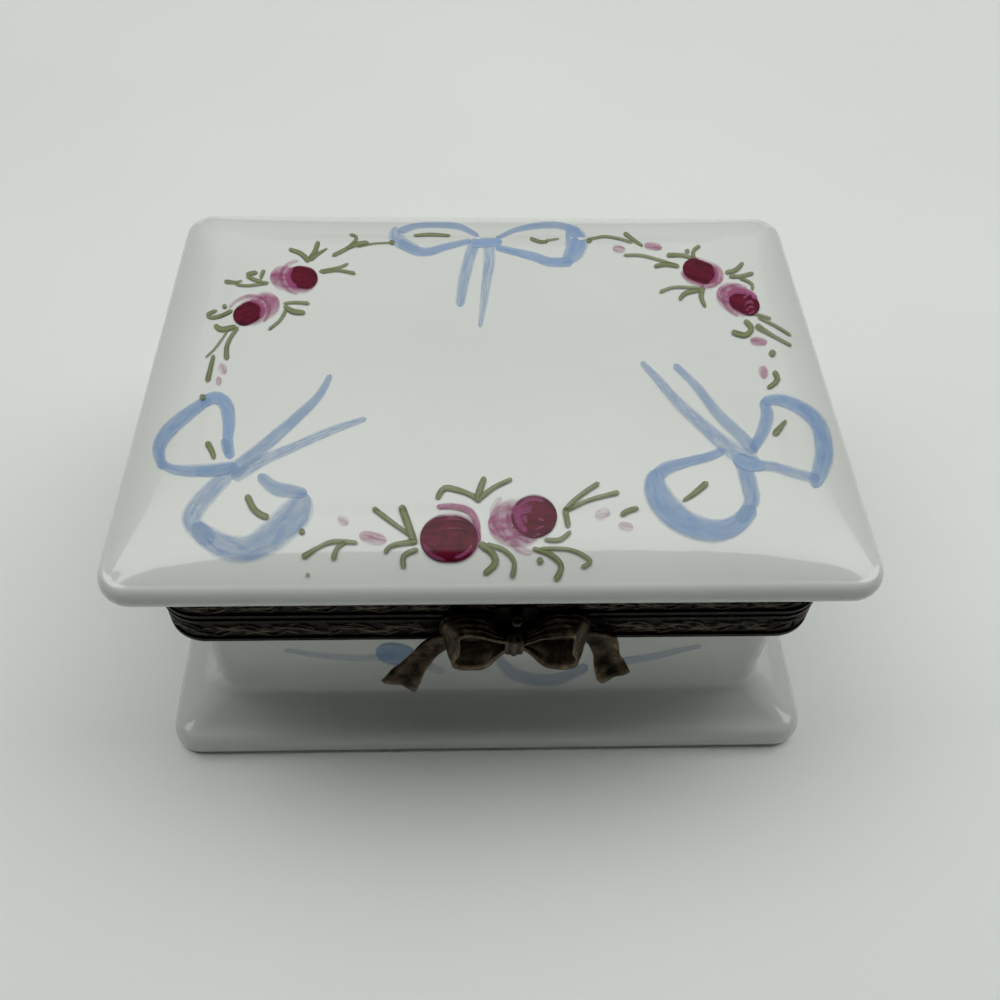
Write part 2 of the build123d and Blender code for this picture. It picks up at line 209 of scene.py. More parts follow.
def level(length, depth, corner, height):
    """Points round a rounded rectangle, in millimetres, always as many and in the same order."""
    corner = max(min(corner, depth / 2), 0)
    points = []
    for turn in range(4):
        side_x = 1 if turn in (0, 3) else -1
        side_y = 1 if turn in (0, 1) else -1
        centre_x = side_x * (length / 2 - corner)
        centre_y = side_y * (depth / 2 - corner)
        for step in range(corner_points + 1):
            angle = math.pi / 2 * (turn + step / corner_points)
            points.append((centre_x + corner * math.cos(angle), centre_y + corner * math.sin(angle), height))
        next_x = -side_x if turn in (0, 2) else side_x
        next_y = side_y if turn in (0, 2) else -side_y
        start = points[-1]
        if turn in (0, 2):
            end = (next_x * (length / 2 - corner), start[1], height)
        else:
            end = (start[0], next_y * (depth / 2 - corner), height)
        for step in range(1, run_points):
            share = step / run_points
            across = start[0] + (end[0] - start[0]) * share
            along = start[1] + (end[1] - start[1]) * share
            points.append((across, along, height))
    return points


def arc(centre_inset, centre_height, radius, start, end, steps):
    """(inset, height) along an arc, in degrees, where 0 points outwards and 90 up."""
    return [
        (
            centre_inset - radius * math.cos(math.radians(start + (end - start) * step / steps)),
            centre_height + radius * math.sin(math.radians(start + (end - start) * step / steps)),
        )
        for step in range(steps + 1)
    ]


def corner_at(inset, corners):
    """The plan corner at an inset, between the known (inset, corner) pairs."""
    for (before, first), (after, last) in zip(corners, corners[1:]):
        if inset <= after:
            share = max((inset - before) / (after - before), 0)
            return first + (last - first) * share
    return corners[-1][1]


def wall_levels(profile, corners):
    """Levels of a wall that follows the outline of the box, moved in by each inset of its profile."""
    return [
        level(box_length - 2 * inset, box_depth - 2 * inset, corner_at(inset, corners), height)
        for inset, height in profile
    ]


def ring_faces(rows, count):
    """Faces between rings, one after another, that have the same count of points."""
    faces = []
    for row in range(rows - 1):
        below, above = row * count, (row + 1) * count
        for step in range(count):
            after = (step + 1) % count
            faces.append((below + step, below + after, above + after, above + step))
    return faces


def weld(piece):
    """Joins the points of a piece that lie together."""
    joined = bmesh.new()
    joined.from_mesh(piece.data)
    bmesh.ops.remove_doubles(joined, verts=joined.verts, dist=weld_distance)
    joined.to_mesh(piece.data)
    joined.free()


def cast_clay(name, rings, finish):
    """A closed shell through the rings. Its first ring is filled, and its last too unless it is a line."""
    count = len(rings[0])
    points = [Vector(point) * mm for ring in rings for point in ring]
    faces = ring_faces(len(rings), count)
    faces.append(tuple(reversed(range(count))))
    closed_line = max(point[1] for point in rings[-1]) - min(point[1] for point in rings[-1]) < 1e-6
    if not closed_line:
        faces.append(tuple((len(rings) - 1) * count + step for step in range(count)))
    shell = solid(name, points, faces, finish)
    if closed_line:
        weld(shell)
    return shell


glaze, nodes, links, skin = shader("glazed_porcelain")
place = object_place(nodes)
clouded = grain(nodes, links, place, glaze_cloud, detail=4)
glaze_shades = ((0.3, (0.70, 0.715, 0.685)), (0.7, (0.74, 0.755, 0.725)))
links.new(shades(nodes, links, clouded, glaze_shades), skin.inputs["Base Color"])
skin.inputs["IOR"].default_value = 1.5
polished = grain(nodes, links, place, glaze_polish)
links.new(levels(nodes, links, polished, 0.03, 0.09), skin.inputs["Roughness"])
rippled = grain(nodes, links, place, glaze_ripple, detail=2)
raised(nodes, links, rippled, glaze_ripple_height, skin, strength=0.5)

foot_inset = (box_length - neck_length) / 2
flare_lean = math.degrees(math.atan2(flare_rise, foot_inset - foot_top_round))
cove_turn = 90 - flare_lean
cove_centre_height = foot_thickness + flare_rise + base_cove_radius * math.tan(math.radians(cove_turn / 2))
foot_profile = [
    (foot_ring_inset + 3 * foot_ring_width, foot_ring_height),
    (foot_ring_inset + foot_ring_width, foot_ring_height),
    (foot_ring_inset + 0.6 * foot_ring_width, 0.7 * foot_ring_height),
    (foot_ring_inset, 0),
    (foot_bottom_round * 1.5, 0),
]
foot_profile += arc(foot_bottom_round, foot_bottom_round, foot_bottom_round, -90, 0, 6)
foot_profile += arc(foot_top_round, foot_thickness - foot_top_round, foot_top_round, 0, 78, 8)
foot_profile += flare_points
foot_profile += arc(
    foot_inset - base_cove_radius, cove_centre_height, base_cove_radius, 180 + cove_turn, 180, 10
)
foot_profile += [(foot_inset, height) for height in wall_heights]
foot_profile += arc(foot_inset + rim_round, base_rim - rim_round, rim_round, 0, 90, 3)
base_outside = wall_levels(
    foot_profile, ((0, box_corner), (foot_top_round, box_corner - foot_top_round), (foot_inset, neck_corner))
)
cavity_inset = (box_length - cavity_length) / 2
floor_profile = arc(cavity_inset - rim_round, base_rim - rim_round, rim_round, 90, 180, 3)
floor_profile += arc(cavity_inset + floor_round, floor_thickness + floor_round, floor_round, 0, -90, 8)
floor_profile += [(cavity_inset + 2 * floor_round, floor_thickness)]
base_inside = wall_levels(
    floor_profile, ((cavity_inset, cavity_corner), (cavity_inset + floor_round, inner_corner))
)
base_shell = cast_clay("base_porcelain_glazed", base_outside + base_inside, glaze)
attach(base_shell, "base")
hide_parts("base_porcelain")

# The lid: the same porcelain, a hollow cushion with a rounded lip over a cove.
# It is cast in one with the neck that the brass mount grips, and glazed in and out.
lid_neck_bottom = 19.85
lid_cove_start = 22.85
lid_cove_reach, lid_cove_rise, cove_steps = 2.6, 1.35, 10
lip_bottom = lid_cove_start + lid_cove_rise
lip_thickness, lip_round = 2.6, 1.25
lip_turn = 59
lip_top_inset = lip_round * (1 - math.cos(math.radians(lip_turn)))
lip_top_height = lip_bottom + lip_thickness - lip_round * (1 - math.sin(math.radians(lip_turn)))
slope_start = math.tan(math.radians(90 - lip_turn))
shoulder_inset, shoulder_height = 4.65, 28.3
crown_rise, crown_fullness, shoulder_ease, hip_ease = 1.7, 5, 0.2, 0.8
# The slope bends as far as this share of the way to the shoulder, and runs on with this rise beyond.
slope_end_share, slope_end_rise = 1.3, 2
ceiling_height, ceiling_round = 27.3, 3.0
crown_rows, crown_crowding, crown_corner_gain = 46, 1.5, 0.5


def crown_height(x, y):
    """Height of the cushion above the table: a slope that eases into a shallow dome, with soft hips."""
    side_x = box_length / 2 - lip_top_inset - abs(x)
    side_y = box_depth / 2 - lip_top_inset - abs(y)
    ease = box_corner - lip_top_inset + hip_ease * max(min(side_x, side_y), 0)
    inset = max(ease - math.hypot(max(ease - side_x, 0), max(ease - side_y, 0)), 0)
    run = shoulder_inset - lip_top_inset
    slope_bend = (lip_top_height + slope_start * run - shoulder_height) / run**2
    bent = min(inset, slope_end_share * run)
    slope = lip_top_height + slope_start * bent - slope_bend * bent**2
    slope += slope_end_rise * max(inset - bent, 0)
    across = abs(x) / (box_length / 2 - shoulder_inset)
    along = abs(y) / (box_depth / 2 - shoulder_inset)
    spread = (across**crown_fullness + along**crown_fullness) ** (1 / crown_fullness)
    dome = shoulder_height + crown_rise * (1 - spread**2)
    return (slope + dome - math.hypot(slope - dome, shoulder_ease)) / 2


hollow_profile = [(cavity_inset + 2 * ceiling_round, ceiling_height)]
hollow_profile += arc(cavity_inset + ceiling_round, ceiling_height - ceiling_round, ceiling_round, 90, 0, 8)
hollow_profile += arc(cavity_inset - rim_round, lid_neck_bottom + rim_round, rim_round, 180, 270, 3)
lid_inside = wall_levels(
    hollow_profile, ((cavity_inset, cavity_corner), (cavity_inset + ceiling_round, inner_corner))
)
neck_profile = arc(foot_inset + rim_round, lid_neck_bottom + rim_round, rim_round, -90, 0, 3)
for step in range(cove_steps + 1):
    angle = math.pi / 2 * step / cove_steps
    cove_inset = foot_inset - lid_cove_reach * (1 - math.cos(angle))
    neck_profile.append((cove_inset, lid_cove_start + lid_cove_rise * math.sin(angle)))
lid_neck = wall_levels(
    neck_profile, ((foot_inset - lid_cove_reach, neck_corner + lid_cove_reach), (foot_inset, neck_corner))
)
lip_profile = arc(lip_round, lip_bottom + lip_round, lip_round, -90, 0, 8)
lip_profile += arc(lip_round, lip_bottom + lip_thickness - lip_round, lip_round, 0, lip_turn, 6)
lid_lip = wall_levels(lip_profile, ((0, box_corner), (lip_round, box_corner - lip_round)))
lid_crown = []
crown_reach = box_depth / 2 - lip_top_inset
for row in range(1, crown_rows + 1):
    inset = crown_reach * (row / crown_rows) ** crown_crowding
    ring = level(
        box_length - 2 * (lip_top_inset + inset),
        box_depth - 2 * (lip_top_inset + inset),
        box_corner - lip_top_inset + crown_corner_gain * inset,
        0,
    )
    lid_crown.append([(x, y, crown_height(x, y)) for x, y, height in ring])
lid_shell = cast_clay("lid_porcelain_glazed", lid_inside + lid_neck + lid_lip + lid_crown, glaze)
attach(lid_shell, "lid")
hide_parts("lid_porcelain")

# The painted ribbon bows: thin washes of blue china paint, put on with a loaded brush.
# They are fired over the glaze, so each stroke has a soft edge and shines as the glaze does.
mark_columns, mark_spacing, bend_steps = 7, 2.5, 16
brush_lift, layer_lift = 0.012, 0.0015
# A stroke runs on past each of its ends by this share of its half width.
end_share = 0.6
# Streaks in the paint: how fine they are across and along the brush, and a shift that parts the marks.
streaks_across, streaks_along, streak_scale, streak_shift = 2.4, 0.35, 1.6, 7.3
# The way along a mark is counted in steps of this many pixels of the picture.
along_unit = 10
# The stretches over which a mark pools towards its edge, thickens with its streaks and breaks where dry.
pool_run, body_run, break_run = (0.2, 0.85), (0.35, 0.65), (0.44, 0.58)
middle_pooling, thin_wash, full_wash, body_levels = -0.7, 0.3, 0.72, (0.86, 1.05)
paint_roughness, paint_gloss = (0.05, 0.16), 1.27


def seen_from(u, v):
    """The way the camera looks at a place in the picture."""
    half = picture_side / 2
    return camera_turn @ Vector(((u - half) / focal_pixels, (half - v) / focal_pixels, -1)).normalized()


def surface_of(piece):
    """What the camera's rays meet on a finished shell."""
    return BVHTree.FromPolygons(
        [vertex.co for vertex in piece.data.vertices], [face.vertices for face in piece.data.polygons]
    )


lid_surface = surface_of(lid_shell)
base_surface = surface_of(base_shell)


def on_lid(u, v):
    """The point of the cushion seen at a place in the picture, and the way the glaze faces there."""
    place, facing = lid_surface.ray_cast(camera_place, seen_from(u, v))[:2]
    place.z = crown_height(place.x / mm, place.y / mm) * mm
    return place, facing


def on_base(u, v):
    """The point of the base seen at a place in the picture, and the way the glaze faces there."""
    place, facing = base_surface.ray_cast(camera_place, seen_from(u, v))[:2]
    return place, facing


def smooth_stroke(points, spacing):
    """A smooth line through (across, down, width) points, evenly spaced, a little longer at each end."""
    first, second, last, before = (Vector(points[i]) for i in (0, 1, -1, -2))
    lead_in = (first - second).to_2d().normalized() * first.z / 2 * end_share
    lead_out = (last - before).to_2d().normalized() * last.z / 2 * end_share
    path = [first + Vector((*lead_in, 0))] + [Vector(point) for point in points[1:-1]]
    path.append(last + Vector((*lead_out, 0)))
    dense = []
    for i in range(len(path) - 1):
        a, b, c, d = path[max(i - 1, 0)], path[i], path[i + 1], path[min(i + 2, len(path) - 1)]
        for step in range(bend_steps):
            t = step / bend_steps
            bend, twist = 2 * a - 5 * b + 4 * c - d, 3 * b - a - 3 * c + d
            dense.append(0.5 * (2 * b + (c - a) * t + bend * t**2 + twist * t**3))
    dense.append(path[-1])
    lengths = [0.0]
    for one, other in zip(dense, dense[1:]):
        lengths.append(lengths[-1] + (other - one).to_2d().length)
    total = lengths[-1]
    count = max(int(total / spacing), 4)
    rows, i = [], 0
    for step in range(count + 1):
        share = 0.5 - 0.5 * math.cos(math.pi * step / count) if total < 6 * first.z else step / count
        target = total * share
        while i < len(dense) - 2 and lengths[i + 1] < target:
            i += 1
        span = max(lengths[i + 1] - lengths[i], 1e-9)
        rows.append((dense[i].lerp(dense[i + 1], min(max((target - lengths[i]) / span, 0), 1)), target))
    return rows, total


def strip_faces(first, rows, columns):
    """Faces of a strip of points, row after row, that starts with the point first."""
    faces = []
    for row in range(rows - 1):
        for column in range(columns - 1):
            corner = first + row * columns + column
            faces.append((corner, corner + columns, corner + columns + 1, corner + 1))
    return faces


def paint_marks(name, marks, finishes, surface, first_lift):
    """Brush marks, each (finish, load, dryness, points in the picture), laid on a surface as one piece."""
    points, faces, face_finishes = [], [], []
    across_values, along_values, mark_values, load_values, dry_values = [], [], [], [], []
    for order, (finish, load, dryness, path) in enumerate(marks.values()):
        rows, total = smooth_stroke(path, mark_spacing)
        first = len(points)
        for index, (middle, along) in enumerate(rows):
            ahead = rows[min(index + 1, len(rows) - 1)][0]
            behind = rows[max(index - 1, 0)][0]
            way = (ahead - behind).to_2d().normalized()
            half_width = middle.z / 2
            from_end = min(along, total - along) / max(half_width, 0.1)
            if from_end < 1:
                half_width *= math.sqrt(max(1 - (1 - from_end) ** 2, 0.002))
            for column in range(mark_columns):
                aside = 2 * column / (mark_columns - 1) - 1
                place, facing = surface(
                    middle.x + way.y * half_width * aside, middle.y - way.x * half_width * aside
                )
                points.append(place + facing * (first_lift + order * layer_lift) * mm)
                across_values.append(aside)
                along_values.append(along / along_unit)
                mark_values.append(order * streak_shift)
                load_values.append(load)
                dry_values.append(dryness)
        strip = strip_faces(first, len(rows), mark_columns)
        faces += strip
        face_finishes += [finish] * len(strip)
    piece = solid(name, points, faces, finishes[0])
    mesh = piece.data
    for finish in finishes[1:]:
        mesh.materials.append(finish)
    for face, finish in zip(mesh.polygons, face_finishes):
        face.material_index = finish
    for attribute, values in (
        ("across", across_values),
        ("along", along_values),
        ("mark", mark_values),
        ("load", load_values),
        ("dryness", dry_values),
    ):
        mesh.attributes.new(attribute, "FLOAT", "POINT").data.foreach_set("value", values)
    return piece


def worked(nodes, links, operation, first, second=0.0):
    """The result of a sum on one amount or two."""
    step = nodes.new("ShaderNodeMath")
    step.operation = operation
    for socket, amount in zip(step.inputs, (first, second)):
        if isinstance(amount, float):
            socket.default_value = amount
        else:
            links.new(amount, socket)
    return step.outputs[0]


def china_paint(name, thin, full, softness, pooling):
    """Fired enamel, darker at its edges by pooling, that lets the glaze through where the brush ran dry."""
    material, nodes, links, skin = shader(name)
    amounts = {}
    for attribute in ("across", "along", "mark", "load", "dryness"):
        reader = nodes.new("ShaderNodeAttribute")
        reader.attribute_name = attribute
        amounts[attribute] = reader.outputs["Fac"]
    spread = nodes.new("ShaderNodeCombineXYZ")
    links.new(worked(nodes, links, "MULTIPLY", amounts["across"], streaks_across), spread.inputs["X"])
    links.new(worked(nodes, links, "MULTIPLY", amounts["along"], streaks_along), spread.inputs["Y"])
    links.new(amounts["mark"], spread.inputs["Z"])
    streak = grain(nodes, links, spread.outputs["Vector"], 1 / streak_scale, detail=4, roughness=0.6)
    edge = worked(nodes, links, "ABSOLUTE", amounts["across"])
    pooled = levels(nodes, links, edge, middle_pooling * pooling, pooling, *pool_run)
    wash = worked(nodes, links, "ADD", streak, pooled)
    washes = ((thin_wash, thin), (full_wash, full))
    links.new(shades(nodes, links, wash, washes), skin.inputs["Base Color"])
    covered = levels(nodes, links, edge, 1.0, 0.0, 1 - softness, 1.0)
    body = levels(nodes, links, streak, *body_levels, *body_run)
    broken = levels(nodes, links, streak, 1.0, 0.0, *break_run)
    missed = worked(nodes, links, "MULTIPLY", amounts["dryness"], broken)
    kept = worked(nodes, links, "SUBTRACT", 1.0, missed)
    loaded = worked(nodes, links, "MULTIPLY", amounts["load"], body)
    amount = worked(nodes, links, "MULTIPLY", covered, loaded)
    laid = worked(nodes, links, "MULTIPLY", amount, kept)
    links.new(worked(nodes, links, "MINIMUM", laid, 1.0), skin.inputs["Alpha"])
    links.new(levels(nodes, links, streak, *paint_roughness), skin.inputs["Roughness"])
    skin.inputs["IOR"].default_value = paint_gloss
    return material


blue_paint = china_paint("blue_china_paint", (0.42, 0.54, 0.70), (0.22, 0.35, 0.60), 0.35, -0.06)
# Each mark is its finish, load, dryness and points. A point is its place in the picture and a width.
lid_bow_marks = {
    "back bow, left loop, upper": (
        0, 0.62, 0.0, ((478, 236, 5), (460, 227, 7.5), (438, 225, 7.5), (416, 226, 7.5), (401, 231, 10))
    ),
    "back bow, left loop, end": (
        0, 0.5, 0.2, ((396, 229, 7.5), (395, 237, 16), (404, 244, 14.5), (418, 249, 7.5))
    ),
    "back bow, left loop, lower": (
        0, 0.72, 0.0, ((401, 243, 11), (413, 250, 11), (428, 252, 10), (446, 247, 8.5), (470, 241, 6))
    ),
    "back bow, right loop, upper": (
        0, 0.62, 0.0, (
            (496, 239, 5), (513, 231, 6), (529, 227, 7.5),
            (546, 225, 8.5), (562, 226, 8.5), (577, 231, 10),
        ),
    ),
    "back bow, right loop, end": (
        0, 0.85, 0.0, ((570, 230, 12), (576, 240, 24.5), (574, 252, 22), (566, 260, 11))
    ),
    "back bow, right loop, lower": (
        0, 0.8, 0.0, ((497, 248, 7.5), (515, 252, 8.5), (534, 257, 10), (550, 262, 11), (570, 262, 11))
    ),
    "back bow, left tail": (
        0, 0.55, 0.15, ((474, 243, 14.5), (469, 260, 13), (464, 280, 13), (460, 304, 10))
    ),
    "back bow, right tail": (
        0, 0.5, 0.3, ((489, 245, 14.5), (489, 263, 13), (486, 285, 11), (483, 308, 8), (480, 327, 4.5))
    ),
    "back bow, knot": (0, 0.95, 0.0, ((474, 244, 8.5), (486, 243, 11), (500, 242, 7.5))),
    "left bow, back loop, inner": (
        0, 0.9, 0.0, (
            (230, 456, 12), (228, 440, 12), (229, 422, 14.5),
            (226, 405, 16), (216, 398, 14.5), (204, 402, 13.5),
        ),
    ),
    "left bow, back loop, outer": (
        0, 0.75, 0.0, ((208, 400, 11), (187, 415, 16), (168, 432, 17), (159, 450, 14.5), (163, 467, 10))
    ),
    "left bow, back loop, lower": (
        0, 0.7, 0.0, ((160, 462, 8.5), (172, 469, 11), (190, 471, 13.5), (214, 470, 14.5), (234, 467, 13.5))
    ),
    "left bow, front loop, left": (
        0, 0.5, 0.1, ((228, 475, 16), (211, 491, 20.5), (195, 510, 22), (193, 524, 22), (208, 539, 23))
    ),
    "left bow, front loop, bottom": (
        0, 0.6, 0.1, (
            (196, 527, 16), (212, 540, 26), (233, 549, 29), (255, 547, 30.5),
            (277, 532, 35), (296, 513, 35), (304, 498, 19),
        ),
    ),
    "left bow, front loop, top": (
        0, 0.65, 0.1, ((304, 493, 11.5), (290, 491, 16), (275, 488, 16), (261, 477, 11.5))
    ),
    "left bow, upper tail": (
        0, 0.62, 0.1, ((233, 471, 17.5), (262, 448, 15.5), (292, 422, 13), (318, 397, 10), (330, 376, 6.5))
    ),
    "left bow, lower tail": (
        0, 0.5, 0.2, ((236, 477, 14.5), (262, 461, 13), (292, 448, 11), (328, 432, 10), (365, 419, 6.5))
    ),
    "left bow, fold by the knot": (0, 0.75, 0.0, ((198, 471, 10), (212, 472, 12), (227, 469, 11))),
    "left bow, fold above the knot": (0, 0.6, 0.0, ((224, 441, 8.5), (227, 452, 10))),
    "right bow, back loop, left": (
        0, 0.75, 0.0, ((753, 449, 11), (763, 431, 14.5), (767, 414, 14.5), (763, 402, 10))
    ),
    "right bow, back loop, top": (
        0, 0.8, 0.0, (
            (764, 402, 10), (778, 400, 13.5), (798, 407, 16), (817, 423, 18.5),
            (824, 449, 20.5), (821, 468, 20.5), (815, 485, 12),
        ),
    ),
    "right bow, back loop, lower": (
        0, 0.55, 0.15, ((752, 465, 13.5), (773, 467, 12), (794, 473, 12), (816, 479, 12))
    ),
    "right bow, front loop, top": (
        0, 0.75, 0.0, ((722, 451, 10), (708, 457, 11), (684, 463, 12), (664, 470, 16), (653, 482, 17))
    ),
    "right bow, front loop, left": (
        0, 0.85, 0.0, (
            (655, 474, 16), (656, 490, 27), (668, 509, 30.5), (687, 524, 28),
            (714, 531, 25.5), (736, 525, 22), (750, 510, 18.5),
        ),
    ),
    "right bow, front loop, right": (
        0, 0.7, 0.0, ((740, 520, 12), (751, 503, 17), (750, 489, 18.5), (746, 473, 18.5), (741, 458, 17))
    ),
    "right bow, left tail": (
        0, 0.55, 0.2, (
            (642, 363, 6.5), (657, 379, 10), (677, 402, 13),
            (704, 427, 15.5), (730, 449, 19), (754, 463, 19),
        ),
    ),
    "right bow, right tail": (
        0, 0.55, 0.1, ((675, 366, 8), (694, 384, 10), (717, 413, 13), (737, 433, 14.5), (754, 450, 14.5))
    ),
    "right bow, knot": (0, 0.9, 0.0, ((736, 459, 12), (748, 464, 17), (762, 466, 11))),
}
lid_bows = paint_marks("painted_ribbon_bows", lid_bow_marks, (blue_paint,), on_lid, brush_lift)
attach(lid_bows, "lid")

base_bow_marks = {
    "base bow, left patch": (0, 0.85, 0.0, ((381, 652, 18), (395, 654, 26), (410, 657, 22))),
    "base bow, left ribbon": (0, 0.3, 0.3, ((285, 650, 5), (320, 655, 7), (360, 658, 8), (392, 656, 10))),
    "base bow, middle": (0, 0.25, 0.2, ((427, 664, 9), (434, 668, 10), (442, 670, 8))),
    "base bow, right loop": (
        0, 0.38, 0.1, ((500, 659, 13), (510, 671, 14), (533, 679, 15), (560, 678, 14), (585, 667, 12))
    ),
    "base bow, right ribbon": (0, 0.35, 0.2, ((622, 661, 10), (650, 657, 9), (676, 651, 7), (700, 646, 5))),
}
base_bow = paint_marks("painted_base_bow", base_bow_marks, (blue_paint,), on_base, brush_lift)
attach(base_bow, "base")

